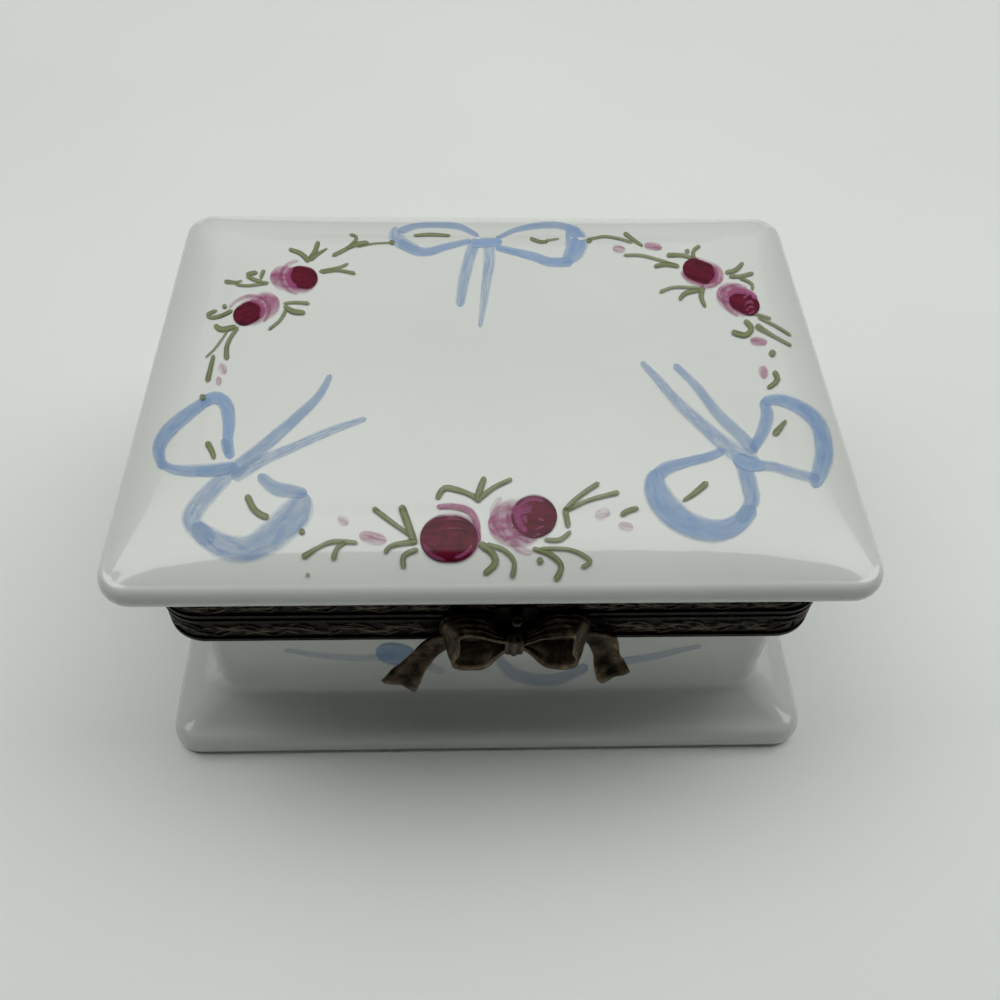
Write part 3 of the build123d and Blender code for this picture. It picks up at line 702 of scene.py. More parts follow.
# The painted leaves and stems: short strokes of moss green, each pressed once and lifted away.
# They join the bows into a garland and are fired with them.
leaf_paint = china_paint("moss_china_paint", (0.28, 0.31, 0.155), (0.095, 0.12, 0.045), 0.25, 0.18)
leaf_marks = {
    "back left dash": (0, 0.8, 0.0, ((414, 236, 3.5), (430, 235, 4.5), (450, 236, 3.5))),
    "back right dash, first": (0, 0.8, 0.0, ((531, 239, 4.5), (539, 242, 4.5), (547, 242, 3.5))),
    "back right dash, second": (0, 0.7, 0.0, ((546, 241, 3.5), (559, 239, 2))),
    "left of the back bow, dot": (0, 0.85, 0.0, ((391, 243, 6.5), (393, 243, 6.5))),
    "left of the back bow, stem": (0, 0.7, 0.0, ((357, 247, 3.5), (374, 244, 2.5), (391, 243, 2.5))),
    "right of the back bow, dot": (0, 0.85, 0.0, ((588, 241, 6.5), (590, 241, 6.5))),
    "right of the back bow, stem": (
        0, 0.75, 0.0, ((589, 240, 3.5), (604, 237, 3.5), (618, 239, 3.5), (632, 243, 3.5))
    ),
    "right of the back bow, leaf": (0, 0.85, 0.0, ((625, 234, 5.5), (633, 240, 4.5), (642, 246, 3.5))),
    "back left leaf, long": (0, 0.9, 0.0, ((308, 261, 6.5), (301, 254, 5.5), (290, 250, 4.5))),
    "back left leaf, up": (0, 0.9, 0.0, ((310, 259, 5.5), (315, 252, 5.5), (318, 243, 5.5))),
    "back left leaf, right": (0, 0.85, 0.0, ((311, 260, 5.5), (317, 255, 4.5), (327, 249, 2))),
    "back left stem, upper": (0, 0.8, 0.0, ((320, 272, 4.5), (339, 268, 3.5), (348, 264, 3.5))),
    "back left stem, lower": (0, 0.8, 0.0, ((322, 273, 3.5), (338, 271, 3.5), (355, 274, 4.5))),
    "back left sprig": (
        0, 0.85, 0.0, ((333, 256, 4.5), (347, 249, 4.5), (355, 242, 4.5), (356, 237, 3.5), (350, 235, 3.5))
    ),
    "back left sprig, tip": (0, 0.85, 0.0, ((347, 249, 3.5), (356, 245, 5.5), (368, 243, 4.5))),
    "left stem, upper": (0, 0.8, 0.0, ((268, 283, 4.5), (249, 286, 3.5), (236, 285, 3.5))),
    "left stem, tip": (0, 0.85, 0.0, ((226, 282, 5.5), (236, 283, 3.5), (242, 281, 2))),
    "left leaf, hooked": (
        0, 0.9, 0.0, ((257, 273, 4.5), (248, 275, 5.5), (252, 279, 4.5), (264, 283, 3.5))
    ),
    "left leaf, small": (0, 0.85, 0.0, ((264, 271, 4.5), (262, 275, 4.5), (261, 279, 3.5))),
    "left curl": (
        0, 0.9, 0.0, ((232, 311, 4.5), (222, 316, 4.5), (212, 318, 4.5), (208, 315, 4.5), (217, 311, 3.5))
    ),
    "left curl, dot": (0, 0.85, 0.0, ((224, 307, 5.5), (226, 307, 5.5))),
    "left curl, foot": (0, 0.9, 0.0, ((216, 326, 5.5), (222, 330, 6.5), (235, 327, 5.5))),
    "left trail, stem": (
        0, 0.85, 0.0, ((238, 328, 4.5), (231, 338, 4.5), (227, 348, 5.5), (227, 359, 6.5))
    ),
    "left trail, thin": (0, 0.75, 0.0, ((228, 331, 2.5), (217, 347, 2.5), (206, 358, 2.5))),
    "left trail, leaf": (0, 0.9, 0.0, ((214, 356, 4.5), (211, 368, 5.5), (208, 381, 6.5))),
    "left rose, right leaf, upper": (0, 0.8, 0.0, ((284, 304, 3.5), (296, 303, 3.5), (309, 304, 4.5))),
    "left rose, right leaf, middle": (0, 0.9, 0.0, ((285, 307, 4.5), (293, 312, 6.5), (304, 313, 5.5))),
    "left rose, right leaf, lower": (0, 0.85, 0.0, ((286, 311, 4.5), (280, 321, 3.5), (269, 330, 3.5))),
    "left bow, upper dash": (0, 0.9, 0.0, ((208, 444, 8), (212, 451, 6.5), (214, 458, 5.5))),
    "left bow, lower dash": (0, 0.9, 0.0, ((248, 497, 8), (253, 508, 8), (261, 515, 8), (267, 517, 8))),
    "left bow, upper dot": (0, 0.75, 0.0, ((202, 398, 8), (204, 398, 8))),
    "left bow, lower dot": (0, 0.85, 0.0, ((301, 532, 8), (303, 532, 8))),
    "right of the back bow, long stem": (
        0, 0.8, 0.0, ((624, 256, 3.5), (640, 256, 3.5), (657, 260, 3.5), (676, 266, 3.5))
    ),
    "right rose, first leaf": (0, 0.85, 0.0, ((655, 267, 4.5), (666, 265, 5.5), (678, 267, 4.5))),
    "right rose, second leaf": (0, 0.85, 0.0, ((668, 256, 5.5), (682, 256, 4.5), (697, 260, 3.5))),
    "right rose, dot": (0, 0.8, 0.0, ((686, 252, 5.5), (688, 252, 5.5))),
    "right rose, hook": (0, 0.85, 0.0, ((694, 259, 4.5), (693, 252, 4.5), (699, 247, 4.5))),
    "right rose, right leaf, upper": (0, 0.85, 0.0, ((726, 273, 4.5), (735, 271, 5.5), (742, 264, 4.5))),
    "right rose, right leaf, middle": (0, 0.85, 0.0, ((730, 277, 4.5), (740, 277, 4.5), (752, 274, 4.5))),
    "right rose, right leaf, lower": (0, 0.85, 0.0, ((740, 279, 3.5), (751, 284, 3.5), (752, 290, 3.5))),
    "right rose, left stem": (0, 0.8, 0.0, ((660, 293, 4.5), (674, 288, 3.5), (699, 289, 3.5))),
    "right rose, left leaf": (0, 0.85, 0.0, ((680, 300, 4.5), (685, 294, 5.5), (698, 291, 4.5))),
    "right rose, lower leaf": (0, 0.9, 0.0, ((702, 289, 8), (701, 298, 5.5), (705, 307, 3.5))),
    "right trail, first stem": (0, 0.8, 0.0, ((753, 314, 3.5), (770, 319, 3.5))),
    "right trail, second stem": (0, 0.8, 0.0, ((758, 318, 3.5), (774, 326, 3.5), (790, 336, 3.5))),
    "right trail, third stem": (0, 0.8, 0.0, ((757, 327, 8), (770, 335, 4.5), (790, 346, 3.5))),
    "right trail, leaf": (
        0, 0.9, 0.0, ((733, 333, 6.5), (745, 336, 6.5), (751, 329, 6.5), (745, 322, 5.5))
    ),
    "right trail, dot": (0, 0.85, 0.0, ((771, 354, 9), (773, 354, 9))),
    "right trail, comma": (0, 0.9, 0.0, ((774, 373, 5.5), (777, 381, 6.5), (768, 388, 4.5))),
    "right bow, upper dash": (0, 0.85, 0.0, ((775, 434, 9), (780, 428, 6.5), (785, 422, 4.5))),
    "right bow, lower dash": (0, 0.85, 0.0, ((683, 501, 3.5), (694, 494, 6.5), (706, 484, 8))),
    "front upper leaf, left": (
        0, 0.9, 0.0, ((479, 500, 9), (470, 495, 5.5), (456, 490, 6.5), (444, 489, 6.5), (438, 498, 6.5))
    ),
    "front upper leaf, middle": (0, 0.9, 0.0, ((478, 498, 9), (480, 490, 8), (484, 479, 6.5))),
    "front upper leaf, right": (0, 0.85, 0.0, ((481, 498, 6.5), (494, 488, 5.5), (511, 480, 4.5))),
    "front left leaf, long": (0, 0.9, 0.0, ((374, 509, 6.5), (391, 522, 5.5), (414, 538, 4.5))),
    "front left leaf, upright": (0, 0.9, 0.0, ((402, 508, 9), (407, 522, 9), (414, 542, 9))),
    "front left leaf, low": (0, 0.85, 0.0, ((386, 553, 5.5), (392, 546, 5.5), (416, 542, 6.5))),
    "front left leaf, drooping": (0, 0.85, 0.0, ((404, 567, 6.5), (404, 556, 6.5), (417, 550, 5.5))),
    "front left sprig": (0, 0.85, 0.0, ((304, 557, 8), (318, 548, 4.5), (334, 542, 5.5), (357, 543, 4.5))),
    "front left sprig, drop": (0, 0.85, 0.0, ((334, 559, 6.5), (337, 549, 5.5), (345, 543, 4.5))),
    "front below, first": (0, 0.9, 0.0, ((481, 545, 9), (492, 553, 8), (495, 564, 8), (485, 573, 6.5))),
    "front below, second": (
        0, 0.85, 0.0, ((487, 545, 5.5), (503, 550, 5.5), (514, 562, 5.5), (512, 577, 6.5))
    ),
    "front right, drooping": (
        0, 0.9, 0.0, ((533, 549, 4.5), (549, 554, 6.5), (561, 566, 6.5), (556, 579, 8))
    ),
    "front right, curled": (
        0, 0.85, 0.0, ((541, 549, 4.5), (570, 550, 4.5), (590, 561, 5.5), (582, 567, 5.5))
    ),
    "front right, dot": (0, 0.85, 0.0, ((539, 561, 9), (541, 561, 9))),
    "front right, comma": (0, 0.85, 0.0, ((545, 540, 4.5), (560, 540, 5.5), (570, 532, 4.5))),
    "front right, stalk": (0, 0.9, 0.0, ((568, 526, 6.5), (565, 510, 6.5))),
    "front right, upper leaf": (0, 0.85, 0.0, ((565, 510, 5.5), (579, 497, 5.5), (598, 484, 5.5))),
    "front right, lower leaf": (0, 0.85, 0.0, ((566, 511, 4.5), (588, 501, 4.5), (618, 493, 5.5))),
    "front right, far dab": (0, 0.85, 0.0, ((622, 515, 6.5), (629, 511, 6.5), (637, 509, 5.5))),
    "front left, speck": (0, 0.7, 0.0, ((307, 575, 4.5), (309, 575, 4.5))),
}
lid_leaves = paint_marks("painted_leaves", leaf_marks, (leaf_paint,), on_lid, 4 * brush_lift)
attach(lid_leaves, "lid")

# The painted roses: a deep crimson heart laid in a paler pink, with petals wiped and added round it.
# Small pink dabs beside the stems stand for buds.
crimson_paint = china_paint("crimson_china_paint", (0.15, 0.005, 0.028), (0.05, 0.001, 0.006), 0.14, 0.05)
pink_paint = china_paint("pink_china_paint", (0.50, 0.15, 0.30), (0.30, 0.04, 0.15), 0.35, 0.05)
crimson, pink = 0, 1
ground_load, ground_dryness, heart_load = 0.72, 0.35, 1.18
shortest_reach, halo_belly, heart_belly, petal_points = 0.6, 2.1, 2.05, 5


def rose_marks(name, centre, long_half, short_half, tilt, halo, heart):
    """A rose seen from above: pink ground, crimson heart and a turn of pale petals."""
    u, v = centre
    turned = (math.cos(math.radians(tilt)), math.sin(math.radians(tilt)))
    reach = max(long_half - end_share * short_half, shortest_reach)
    halo_u, halo_v, halo_long, halo_short = halo
    halo_reach = max(halo_long - end_share * halo_short, shortest_reach)
    marks = {
        f"{name}, ground": (
            pink, ground_load, ground_dryness, (
                (halo_u - halo_reach * turned[0], halo_v - halo_reach * turned[1], 2 * halo_short),
                (halo_u, halo_v, halo_belly * halo_short),
                (halo_u + halo_reach * turned[0], halo_v + halo_reach * turned[1], 2 * halo_short),
            ),
        ),
        f"{name}, heart": (
            crimson, heart_load, 0.0, (
                (u - reach * turned[0], v - reach * turned[1], 2 * short_half),
                (u, v, heart_belly * short_half),
                (u + reach * turned[0], v + reach * turned[1], 2 * short_half),
            ),
        ),
    }
    for turn, (start, end, share, width, load, dryness) in enumerate(heart):
        path = []
        for step in range(petal_points):
            angle = math.radians(start + (end - start) * step / (petal_points - 1))
            along, across = math.cos(angle) * long_half * share, math.sin(angle) * short_half * share
            path.append(
                (
                    u + along * turned[0] - across * turned[1],
                    v + along * turned[1] + across * turned[0],
                    width * (0.45 + 0.55 * math.sin(math.pi * (step + 0.5) / petal_points)),
                )
            )
        marks[f"{name}, petal {turn + 1}"] = (pink, load, dryness, tuple(path))
    return marks


rose_mark_sets = (
    rose_marks("back left rose", (303, 278), 15, 11.5, 10, (293, 280, 23, 13), (
        (110, 215, 1.0, 7, 0.85, 0.3), (150, 250, 1.45, 4, 0.6, 0.6), (95, 190, 1.5, 4, 0.6, 0.7))),
    rose_marks("left rose", (248, 314), 15, 11, -25, (259, 309, 22, 14), (
        (-60, 50, 1.05, 6, 0.8, 0.3), (-130, -30, 1.5, 4, 0.6, 0.6), (-40, 60, 1.5, 4, 0.7, 0.5))),
    rose_marks("back right rose", (699, 272), 17, 11, 20, (703, 273, 21, 13), (
        (-50, 40, 1.05, 5, 0.75, 0.4), (60, 150, 1.15, 4, 0.7, 0.5), (20, 80, 1.35, 3, 0.6, 0.6))),
    rose_marks("right rose", (744, 304), 16, 10, 25, (737, 300, 22, 15), (
        (180, 300, 1.1, 8, 0.85, 0.2), (90, 190, 1.4, 4, 0.65, 0.5), (170, 260, 1.6, 4, 0.55, 0.6))),
    rose_marks("front rose", (449, 539), 29, 24, 0, (452, 538, 29, 26), (
        (20, 75, 0.82, 5, 0.6, 0.4), (100, 165, 0.9, 5, 0.5, 0.5))),
    rose_marks("front right rose", (534, 517), 23, 22, 0, (516, 524, 28, 25), (
        (120, 215, 0.72, 9, 0.8, 0.3), (140, 225, 0.42, 6, 0.7, 0.3), (215, 300, 0.8, 6, 0.7, 0.4),
        (100, 190, 1.15, 5, 0.6, 0.6))),
)
bud_marks = {
    "front rose, upper petal": (
        pink, 0.75, 0.25, ((438, 507, 6), (455, 507, 8), (470, 512, 9), (477, 525, 8), (478, 541, 6))
    ),
    "front rose, light": (pink, 0.5, 0.3, ((461, 533, 7), (464, 540, 9), (461, 547, 6))),
    "front right rose, left petal": (
        pink, 0.5, 0.8, ((500, 499, 7), (494, 511, 9), (497, 526, 9), (506, 540, 8))
    ),
    "front right rose, low petal": (pink, 0.35, 0.7, ((512, 543, 9), (521, 550, 11), (531, 552, 8))),
    "right of the back bow, bud": (pink, 0.55, 0.5, ((615, 249, 9), (623, 250, 8))),
    "back right bud": (pink, 0.6, 0.4, ((646, 246, 7), (653, 247, 9), (660, 248, 7))),
    "left trail, upper bud": (pink, 0.45, 0.6, ((222, 366, 9), (224, 372, 10))),
    "left trail, lower bud": (pink, 0.5, 0.5, ((219, 379, 7), (219, 384, 7))),
    "right trail, upper bud": (pink, 0.6, 0.4, ((752, 341, 8), (758, 342, 10), (765, 343, 7))),
    "right trail, lower bud": (pink, 0.5, 0.5, ((762, 369, 10), (764, 376, 11))),
    "front left bud, faint": (pink, 0.35, 0.7, ((340, 519, 9), (346, 523, 11))),
    "front left bud": (pink, 0.55, 0.6, ((363, 536, 13), (372, 538, 15), (383, 540, 12))),
    "front right bud, faint": (pink, 0.4, 0.7, ((598, 516, 12), (606, 513, 14))),
    "front right bud, far": (pink, 0.4, 0.7, ((621, 526, 10), (630, 528, 11))),
}
for marks in rose_mark_sets:
    bud_marks.update(marks)
lid_roses = paint_marks("painted_roses", bud_marks, (crimson_paint, pink_paint), on_lid, 6 * brush_lift)
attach(lid_roses, "lid")

# The mounts: two rolled and cast brass bands, darkened with age and cemented round the necks.
# Each has a plain line along both edges and a sunk frieze between them.
mount_length, mount_depth, mount_corner = 52.2, 38.7, 3.4
# Tarnish comes in patches that hide or bare this much, and fine pits roughen the brass all over.
patchiness, polish_change, pit_depth, pit_strength = 0.3, 0.25, 0.03 * mm, 0.55


def old_brass(name, dark, middle, bright, grain_size, polish):
    """Aged brass: dark in the hollows, brighter where its attribute of wear and painted light is high; the
    painted light is on parts of the bow.
    """
    material, nodes, links, skin = shader(name)
    place = object_place(nodes)
    skin.inputs["Metallic"].default_value = 1.0
    wear_and_light = nodes.new("ShaderNodeAttribute")
    wear_and_light.attribute_name = "wear_and_light"
    tarnish = grain(nodes, links, place, grain_size, detail=5, roughness=0.65)
    patchy = levels(nodes, links, tarnish, -patchiness, patchiness, 0.25, 0.75)
    rubbed_and_lit = worked(nodes, links, "ADD", patchy, wear_and_light.outputs["Fac"])
    tones = ((0.05, dark), (0.5, middle), (0.95, bright))
    links.new(shades(nodes, links, rubbed_and_lit, tones), skin.inputs["Base Color"])
    fine = grain(nodes, links, place, grain_size / 3)
    links.new(levels(nodes, links, fine, polish, polish + polish_change), skin.inputs["Roughness"])
    raised(nodes, links, fine, pit_depth, skin, strength=pit_strength)
    return material


def set_wear_and_light(piece, values):
    """How much wear each point of a brass piece shows, from 0 to 1, with painted light added on parts of the
    bow.
    """
    piece.data.attributes.new("wear_and_light", "FLOAT", "POINT").data.foreach_set("value", values)


def refinish(node_name, finish):
    """A CAD piece keeps its shape and gets its real finish."""
    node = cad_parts[node_name]
    node.data.materials.clear()
    node.data.materials.append(finish)


mount_brass = old_brass(
    "mount_brass", (0.006, 0.005, 0.004), (0.055, 0.047, 0.036), (0.17, 0.145, 0.11), 0.8 * mm, 0.34
)
refinish("base_bezel", mount_brass)
refinish("lid_bezel", mount_brass)

# The foliage on the mounts: low sprays of long leaves, cast with the band and chased, in its sunk frieze.
# They run one after another all the way round and cross over each other.
frieze_recess, frieze_half_height = 0.18, 1.13
frieze_middles = {"base_bezel": 17.6, "lid_bezel": 21.0}
relief_height, relief_change, relief_turn = 0.165, 0.25, 2.4
spray_pitch = 2.2
# Each leaf is its lean in degrees, its length, its width and the height at which it springs from its stem.
spray_leaves = (
    (-34, 2.2, 0.36, 0.35), (-18, 3.0, 0.42, 0.05), (2, 3.4, 0.4, -0.3),
    (18, 3.2, 0.42, -0.65), (38, 2.4, 0.36, -0.8), (-6, 2.0, 0.3, 0.8),
)
leaf_sides, leaf_steps, leaf_fullness = 4, 7, 0.75
# Chance turns a leaf by some degrees and changes its length and its rub, and its tip curls as it grows.
chance_lean, chance_length, tip_curl = 16, 0.3, 0.035
rub_low, rub_ridge = 0.12, 0.5


def round_the_frieze(run):
    """The place and facing of the frieze at a run along it, anticlockwise from the middle of the front."""
    corner = mount_corner - frieze_recess
    flat_x = mount_length / 2 - mount_corner
    flat_y = mount_depth / 2 - mount_corner
    bend = corner * math.pi / 2
    stretches = (
        (flat_x, (0, -flat_y - corner), (1, 0)),
        (bend, (flat_x, -flat_y), -90),
        (2 * flat_y, (flat_x + corner, -flat_y), (0, 1)),
        (bend, (flat_x, flat_y), 0),
        (2 * flat_x, (flat_x, flat_y + corner), (-1, 0)),
        (bend, (-flat_x, flat_y), 90),
        (2 * flat_y, (-flat_x - corner, flat_y), (0, -1)),
        (bend, (-flat_x, -flat_y), 180),
        (flat_x, (-flat_x, -flat_y - corner), (1, 0)),
    )
    run = run % sum(length for length, start, way in stretches)
    for length, start, way in stretches:
        if run <= length:
            break
        run -= length
    if isinstance(way, tuple):
        return (start[0] + way[0] * run, start[1] + way[1] * run), (way[1], -way[0])
    angle = math.radians(way) + run / corner
    facing = (math.cos(angle), math.sin(angle))
    return (start[0] + facing[0] * corner, start[1] + facing[1] * corner), facing


def leaf_sprays(name, middle_height):
    """Tapering leaves, rounded across, laid along the frieze in bending sprays."""
    points, faces, wear_and_light = [], [], []
    corner_run = (mount_corner - frieze_recess) * 2 * math.pi
    total = 2 * (mount_length + mount_depth) - 8 * mount_corner + corner_run
    count = 2 * round(total / spray_pitch / 2)
    for spray in range(count):
        bend = 1 if spray % 2 else -1
        for leaf, (lean, length, width, spring) in enumerate(spray_leaves):
            wander = noise.noise((spray * 1.7, leaf * 2.3, middle_height))
            first = len(points)
            run, height = spray * total / count, middle_height + bend * spring
            heading = math.radians(bend * (lean + chance_lean * wander))
            stride = length * (1 + chance_length * wander) / leaf_steps
            lift = relief_height * (1 - relief_change * (1 - math.cos(relief_turn * leaf)))
            for step in range(leaf_steps + 1):
                share = step / leaf_steps
                half = width / 2 * math.sin(math.pi * (0.06 + 0.92 * share)) ** leaf_fullness
                for side in range(leaf_sides + 1):
                    aside = 2 * side / leaf_sides - 1
                    rise = lift * (1 - aside**2)
                    (x, y), facing = round_the_frieze(run - math.sin(heading) * half * aside)
                    z = height + math.cos(heading) * half * aside
                    z = min(max(z, middle_height - frieze_half_height), middle_height + frieze_half_height)
                    points.append(Vector((x + facing[0] * rise, y + facing[1] * rise, z)) * mm)
                    wear_and_light.append(rub_low + rub_ridge * (1 - aside**2) + chance_length * wander)
                run += math.cos(heading) * stride
                height += math.sin(heading) * stride
                heading -= bend * tip_curl * (leaf - 1)
            faces += strip_faces(first, leaf_steps + 1, leaf_sides + 1)
    piece = solid(name, points, faces, mount_brass)
    set_wear_and_light(piece, wear_and_light)
    return piece


for bezel, body in (("base_bezel", "base"), ("lid_bezel", "lid")):
    sprays = leaf_sprays(f"{bezel}_foliage", frieze_middles[bezel])
    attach(sprays, body)

# The cement: a grey-white line of plaster that fills the gap between neck and mount.
# It was pressed in wet, wiped off and left a little rough.
mottle_size, plaster_grain, plaster_grain_height = 0.4 * mm, 0.15 * mm, 0.03 * mm
cement, nodes, links, skin = shader("cement")
place = object_place(nodes)
mottle = grain(nodes, links, place, mottle_size)
plaster_shades = ((0.3, (0.34, 0.32, 0.28)), (0.7, (0.55, 0.53, 0.48)))
links.new(shades(nodes, links, mottle, plaster_shades), skin.inputs["Base Color"])
skin.inputs["Roughness"].default_value = 0.85
raised(nodes, links, grain(nodes, links, place, plaster_grain), plaster_grain_height, skin)
refinish("base_cement", cement)
refinish("lid_cement", cement)

# The hinge: two brass strips soldered to the backs of the mounts and rolled round a wire pin.
# Its brass is brighter than that of the mounts, and the pin's brighter still.
hinge_brass = old_brass(
    "hinge_brass", (0.03, 0.022, 0.014), (0.13, 0.10, 0.06), (0.30, 0.235, 0.14), 0.7 * mm, 0.28
)
refinish("hinge_leaf_base", hinge_brass)
refinish("hinge_leaf_lid", hinge_brass)
pin_brass = old_brass(
    "pin_brass", (0.10, 0.075, 0.035), (0.26, 0.20, 0.10), (0.42, 0.33, 0.18), 0.5 * mm, 0.22
)
refinish("hinge_pin", pin_brass)

# The clasp tongue: a forked strip of springy brass, soldered to the front of the base mount.
# It carries the bow on its face, and its brass is a darker copy of the bow's: painted shade for the shadow
# it lies in behind the bow.
tongue_brass_painted_shade = old_brass(
    "tongue_brass_painted_shade", (0.010, 0.008, 0.006), (0.035, 0.028, 0.02), (0.09, 0.07, 0.05), 0.7 * mm, 0.35
)
refinish("clasp_tongue", tongue_brass_painted_shade)

# The catch bead: turned brass, riveted into the lid mount, near black all over and with a low roughness.
# The forked tongue springs past it when the lid is pressed shut.
clasp_offset = 1.7
bead_out, bead_height = 20.45, 20.75
bead_radius, bead_neck_radius, bead_neck_start = 0.55, 0.3, 19.17
bead_sides, bead_steps, bead_rub = 28, 12, 0.35
bead_brass = old_brass(
    "bead_brass", (0.008, 0.006, 0.005), (0.03, 0.024, 0.017), (0.09, 0.07, 0.05), 0.5 * mm, 0.1
)
profile = [(0.0, bead_neck_start), (bead_neck_radius, bead_neck_start)]
for step in range(2, bead_steps + 1):
    angle = math.pi * step / bead_steps
    profile.append((bead_radius * math.sin(angle), bead_out - bead_radius * math.cos(angle)))
points = []
for radius, out in profile:
    for side in range(bead_sides):
        angle = 2 * math.pi * side / bead_sides
        x, z = clasp_offset + radius * math.cos(angle), bead_height + radius * math.sin(angle)
        points.append(Vector((x, -out, z)) * mm)
bead = solid("catch_bead_turned", points, ring_faces(len(profile), bead_sides), bead_brass)
weld(bead)
set_wear_and_light(bead, [bead_rub] * len(bead.data.vertices))
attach(bead, "lid")
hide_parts("catch_bead")

# The bow: two loops, two tails and a pleated knot, formed from brass ribbon and soldered over the tongue.
# Its ribbon is creased towards the knot, has an engraved line by each edge and folds in at its outer ends.
# The lower run of each loop climbs towards the back, and each tail is kicked out and hemmed at its end.
bow_height, bow_back, bow_front = 18.05, 19.65, 21.7
knot_width, knot_height, knot_aside = 1.9, 2.4, -0.15
loop_reach, loop_radius, eye_radius = 3.5, 2.4, 0.6
ribbon_thickness, loop_fold, loop_drop, inner_climb = 0.26, 1.5, 0.5, 0.75
loop_points, ribbon_rows, loop_fullness = 84, 16, 2.8
curve_steps, eye_steps, least_eye = 20, 8, 0.03
engraved_depth, engraved_rows = 0.06, (2, ribbon_rows - 3)
crease_depth, creases, dent_depth, dent_size = 0.11, 7.5, 0.16, 0.9
fold_ease, least_fold = 0.3, 0.3
# How much wear the plain ribbon shows, and what each of its shapes adds or takes; the climbing lower run
# adds painted light to its inner face, which lies in shade under the upper run.
plain_rub, line_rub, front_rub, climb_painted_light = 0.3, 4, 0.2, 0.25
crease_rub, dent_rub, end_rub = 2.2, 1.4, 0.15
# The front edge of the ribbon starts to round at this share of the way forward.
edge_share = 0.98
bow_brass = old_brass(
    "bow_brass", (0.010, 0.008, 0.006), (0.075, 0.055, 0.034), (0.27, 0.21, 0.13), 0.6 * mm, 0.3
)


def teardrop(inset):
    """Points round a loop seen from the front: a small eye at the knot and a large curve, evenly spaced."""
    eye, large = max(eye_radius - inset, least_eye), loop_radius - inset
    tangent = math.acos((large - eye) / (loop_reach - knot_width / 2))
    outline = []
    for step in range(2 * curve_steps + 1):
        angle = (math.pi - tangent) * (step / curve_steps - 1)
        aside, up = math.cos(angle), math.sin(angle)
        full = large
        if aside > 0:
            full *= (aside**loop_fullness + abs(up) ** loop_fullness) ** (-1 / loop_fullness)
        outline.append((loop_reach + full * aside, full * up))
    for step in range(eye_steps + 1):
        angle = math.pi - tangent + 2 * tangent * step / eye_steps
        outline.append((knot_width / 2 + eye * math.cos(angle), eye * math.sin(angle)))
    outline.append(outline[0])
    lengths = [0.0]
    for one, other in zip(outline, outline[1:]):
        lengths.append(lengths[-1] + math.dist(one, other))
    spaced, i = [], 0
    for step in range(loop_points):
        target = lengths[-1] * step / loop_points
        while lengths[i + 1] < target:
            i += 1
        share = (target - lengths[i]) / max(lengths[i + 1] - lengths[i], 1e-9)
        one, other = outline[i], outline[i + 1]
        spaced.append((one[0] + (other[0] - one[0]) * share, one[1] + (other[1] - one[1]) * share))
    return spaced


# Each ring of a loop is its share of the way forward, its inset and how rubbed it is.
loop_rings = [(0.0, 0.3, 0.0)]
for row in range(ribbon_rows + 1):
    forward = row / ribbon_rows
    engraved = engraved_depth if row in engraved_rows else 0.0
    rub_and_light = plain_rub - line_rub * engraved + front_rub * forward**4
    loop_rings.append((edge_share * forward, engraved, rub_and_light))
loop_rings += [
    (1.0, 0.3 * ribbon_thickness, 0.35), (1.0, 0.7 * ribbon_thickness, 0.3),
    (edge_share, ribbon_thickness, 0.35),
    (0.86, ribbon_thickness + 0.05, 0.3), (0.7, ribbon_thickness, 0.35), (0.55, ribbon_thickness, 0.3),
    (0.4, ribbon_thickness, 0.1), (0.22, ribbon_thickness + 0.1, -0.3), (0.12, ribbon_thickness + 0.8, -0.3),
]
for side, name in ((-1, "bow_loop_left"), (1, "bow_loop_right")):
    points, wear_and_light = [], []
    for forward, inset, rub_and_light in loop_rings:
        for u, v in teardrop(inset):
            away = min(max((u - knot_width / 2) / (loop_reach + loop_radius - knot_width / 2), 0), 1)
            end = max(away - 0.5, 0) / 0.5
            gathered = 0.5 + 0.5 * math.sin(math.pi / 2 * min(away * 2, 1))
            crease = crease_depth * math.sin(creases * math.pi * forward + 2 * side) * (1 - away) ** 1.3
            dent = dent_depth * noise.noise((u * dent_size + 5 * side, v * dent_size, forward * 1.7))
            spread = 1 + (crease + dent) / math.hypot(u - loop_reach, v)
            folded = loop_fold * (1 if v > 0 else max(1 + fold_ease * v, least_fold))
            u = loop_reach + (u - loop_reach) * spread - folded * forward**1.4 * end**1.5
            v = v * spread - (loop_drop * forward * min(away * 3, 1) if v < 0 else 0)
            out = bow_back + (bow_front - bow_back) * (0.5 + (forward - 0.5) * gathered) + 0.15 * (1 - away)
            climbing = inset >= ribbon_thickness and v < 0
            if climbing:
                v *= 1 - inner_climb * (1 - forward)
            points.append(Vector((clasp_offset + side * u, -min(out, bow_front), bow_height + v)) * mm)
            shaped = crease_rub * crease + dent_rub * dent
            # The climbing lower run gets painted light on its inner face, which lies in shade under the
            # upper run.
            wear_and_light.append(rub_and_light + climb_painted_light * climbing + shaped + end_rub * end)
    faces = ring_faces(len(loop_rings), loop_points)
    last = (len(loop_rings) - 1) * loop_points
    faces += [tuple(reversed(range(loop_points))), tuple(range(last, last + loop_points))]
    if side > 0:
        faces = [tuple(reversed(face)) for face in faces]
    loop = solid(f"{name}_ribbon", points, faces, bow_brass)
    set_wear_and_light(loop, wear_and_light)
    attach(loop, "base")
    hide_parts(name)

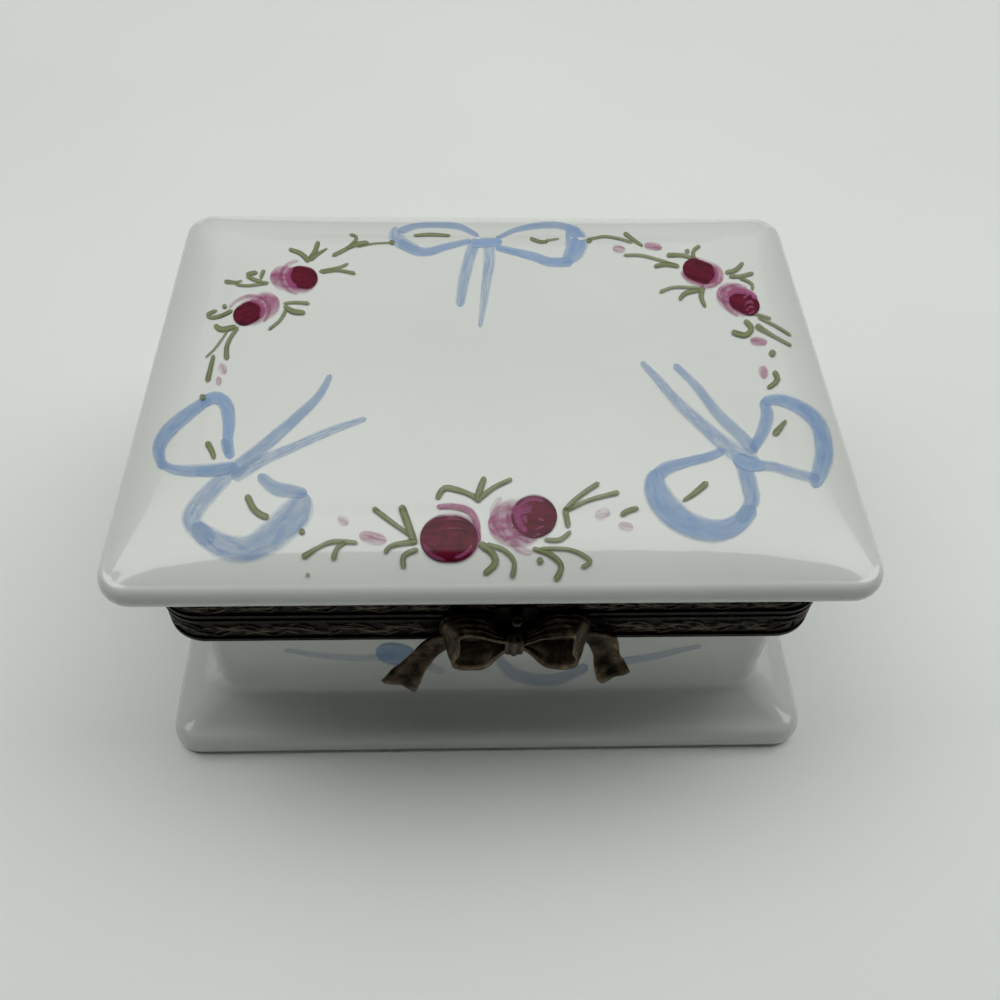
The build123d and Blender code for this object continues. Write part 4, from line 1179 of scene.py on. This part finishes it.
# The knot: a short band of the same ribbon, wrapped round the middle of the bow and pleated in front.
knot_rows, knot_points, pleats = 16, 64, 5
knot_middle, knot_half_depth, knot_flank, pleat_height = 20.45, 1.25, 0.86, 0.13
knot_waist, knot_spread, knot_rub, pleat_rub = 0.12, 0.06, 0.1, 3.0
points, wear_and_light = [], []
for row in range(knot_rows + 1):
    rise = 2 * row / knot_rows - 1
    rounding = 0.5 + 0.5 * (1 - abs(rise) ** 4) ** 0.5
    waist = 1 - knot_waist * (1 - rise**2) + knot_spread * (1 - rise) / 2
    for step in range(knot_points):
        angle = 2 * math.pi * step / knot_points
        fold = 0.5 + 0.5 * math.cos(pleats * 2 * math.asin(math.cos(angle)) / 1.3)
        pleat = pleat_height * fold if math.sin(angle) < 0 else 0.0
        square = (abs(math.cos(angle)) ** 3 + abs(math.sin(angle)) ** 3) ** (-1 / 3)
        reach = (knot_flank + pleat) * rounding * waist * square
        x = clasp_offset + knot_aside + knot_width / 2 * reach * math.cos(angle)
        out = knot_middle - knot_half_depth * reach * math.sin(angle)
        points.append(Vector((x, -min(out, bow_front), bow_height + knot_height / 2 * rise)) * mm)
        wear_and_light.append(knot_rub + pleat_rub * pleat)
faces = ring_faces(knot_rows + 1, knot_points)
faces.append(tuple(reversed(range(knot_points))))
faces.append(tuple(knot_rows * knot_points + step for step in range(knot_points)))
knot = solid("bow_knot_pleated", points, faces, bow_brass)
set_wear_and_light(knot, wear_and_light)
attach(knot, "base")
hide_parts("bow_knot")

# The tails: two flat ends of ribbon, cut on the slant and bent forward, with a hem and a small notch.
tail_rows, tail_columns = 30, 10
tail_back, tail_kick, tail_thickness, tail_notch = 20.0, 1.35, 0.3, 0.018
kick_start, tail_fold, tail_dent, tail_dent_size = 1.0, 0.09, 0.12, 0.8
hem_height, hem_place, hem_width = 0.14, 0.88, 0.03
# Each tail also gets lighter along its run: painted light on its lower end, which the light reaches, while
# its upper end lies in the shade of the loops.
tail_rub, far_painted_light, edge_rub, fold_rub, hollow_rub = 0.05, 0.3, 0.25, 1.5, 2
# Each tail is its reach and drop, and its upper and lower edge in hundredths of them, from the knot out.
tail_sets = {
    "bow_tail_left": (-10.7, 6.7, ((8, 4), (42, 5), (62, -10), (79, -42), (92, -62), (100, -75)),
                      ((8, -12), (37, -19), (55, -36), (64, -54), (69, -70), (75, -99))),
    "bow_tail_right": (9.7, 5.6, ((8, 4), (62, 3), (82, -12), (87, -45), (93, -62), (97, -74)),
                       ((8, -13), (52, -18), (64, -42), (66, -62), (69, -84), (74, -100))),
}
for name, (reach, drop, upper, lower) in tail_sets.items():
    edges = [smooth_stroke([(along, down, 0.1) for along, down in edge], 1)[0] for edge in (upper, lower)]
    points, wear_and_light, faces = [], [], []
    for row in range(tail_rows + 1):
        for column in range(tail_columns + 1):
            across = column / tail_columns
            run = row / tail_rows
            run *= 1 - tail_notch * (1 - abs(2 * across - 1)) * run**6
            top, low = (edge[round(run * (len(edge) - 1))][0] / 100 for edge in edges)
            x = clasp_offset + reach * (top.x + (low.x - top.x) * across)
            z = bow_height + drop * (top.y + (low.y - top.y) * across)
            fallen = min(max((bow_height - kick_start - z) / drop, 0), 1)
            fold = tail_fold * math.sin(2.5 * math.pi * across + 0.8) * run
            hem = hem_height * math.exp(-(((run - hem_place) / hem_width) ** 2))
            dent = tail_dent * noise.noise((x * tail_dent_size, z * tail_dent_size, reach))
            out = tail_back + tail_kick * min(1.6 * fallen, 1) ** 1.5 + fold + dent - hem
            points.append(Vector((x, -min(out, bow_front - tail_thickness / 2), z)) * mm)
            # The share along the run is painted light on the lit lower end of the tail.
            rub_and_light = tail_rub + far_painted_light * run + edge_rub * abs(2 * across - 1) ** 6
            wear_and_light.append(rub_and_light + fold_rub * fold + hollow_rub * (dent - hem))
    for row in range(tail_rows):
        for column in range(tail_columns):
            corner = row * (tail_columns + 1) + column
            quad = (corner, corner + 1, corner + tail_columns + 2, corner + tail_columns + 1)
            faces.append(tuple(reversed(quad)) if reach > 0 else quad)
    tail = solid(f"{name}_ribbon", points, faces, bow_brass)
    set_wear_and_light(tail, wear_and_light)
    ribbon = tail.modifiers.new("ribbon", "SOLIDIFY")
    ribbon.thickness = tail_thickness * mm
    ribbon.offset = 0
    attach(tail, "base")
    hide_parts(name)
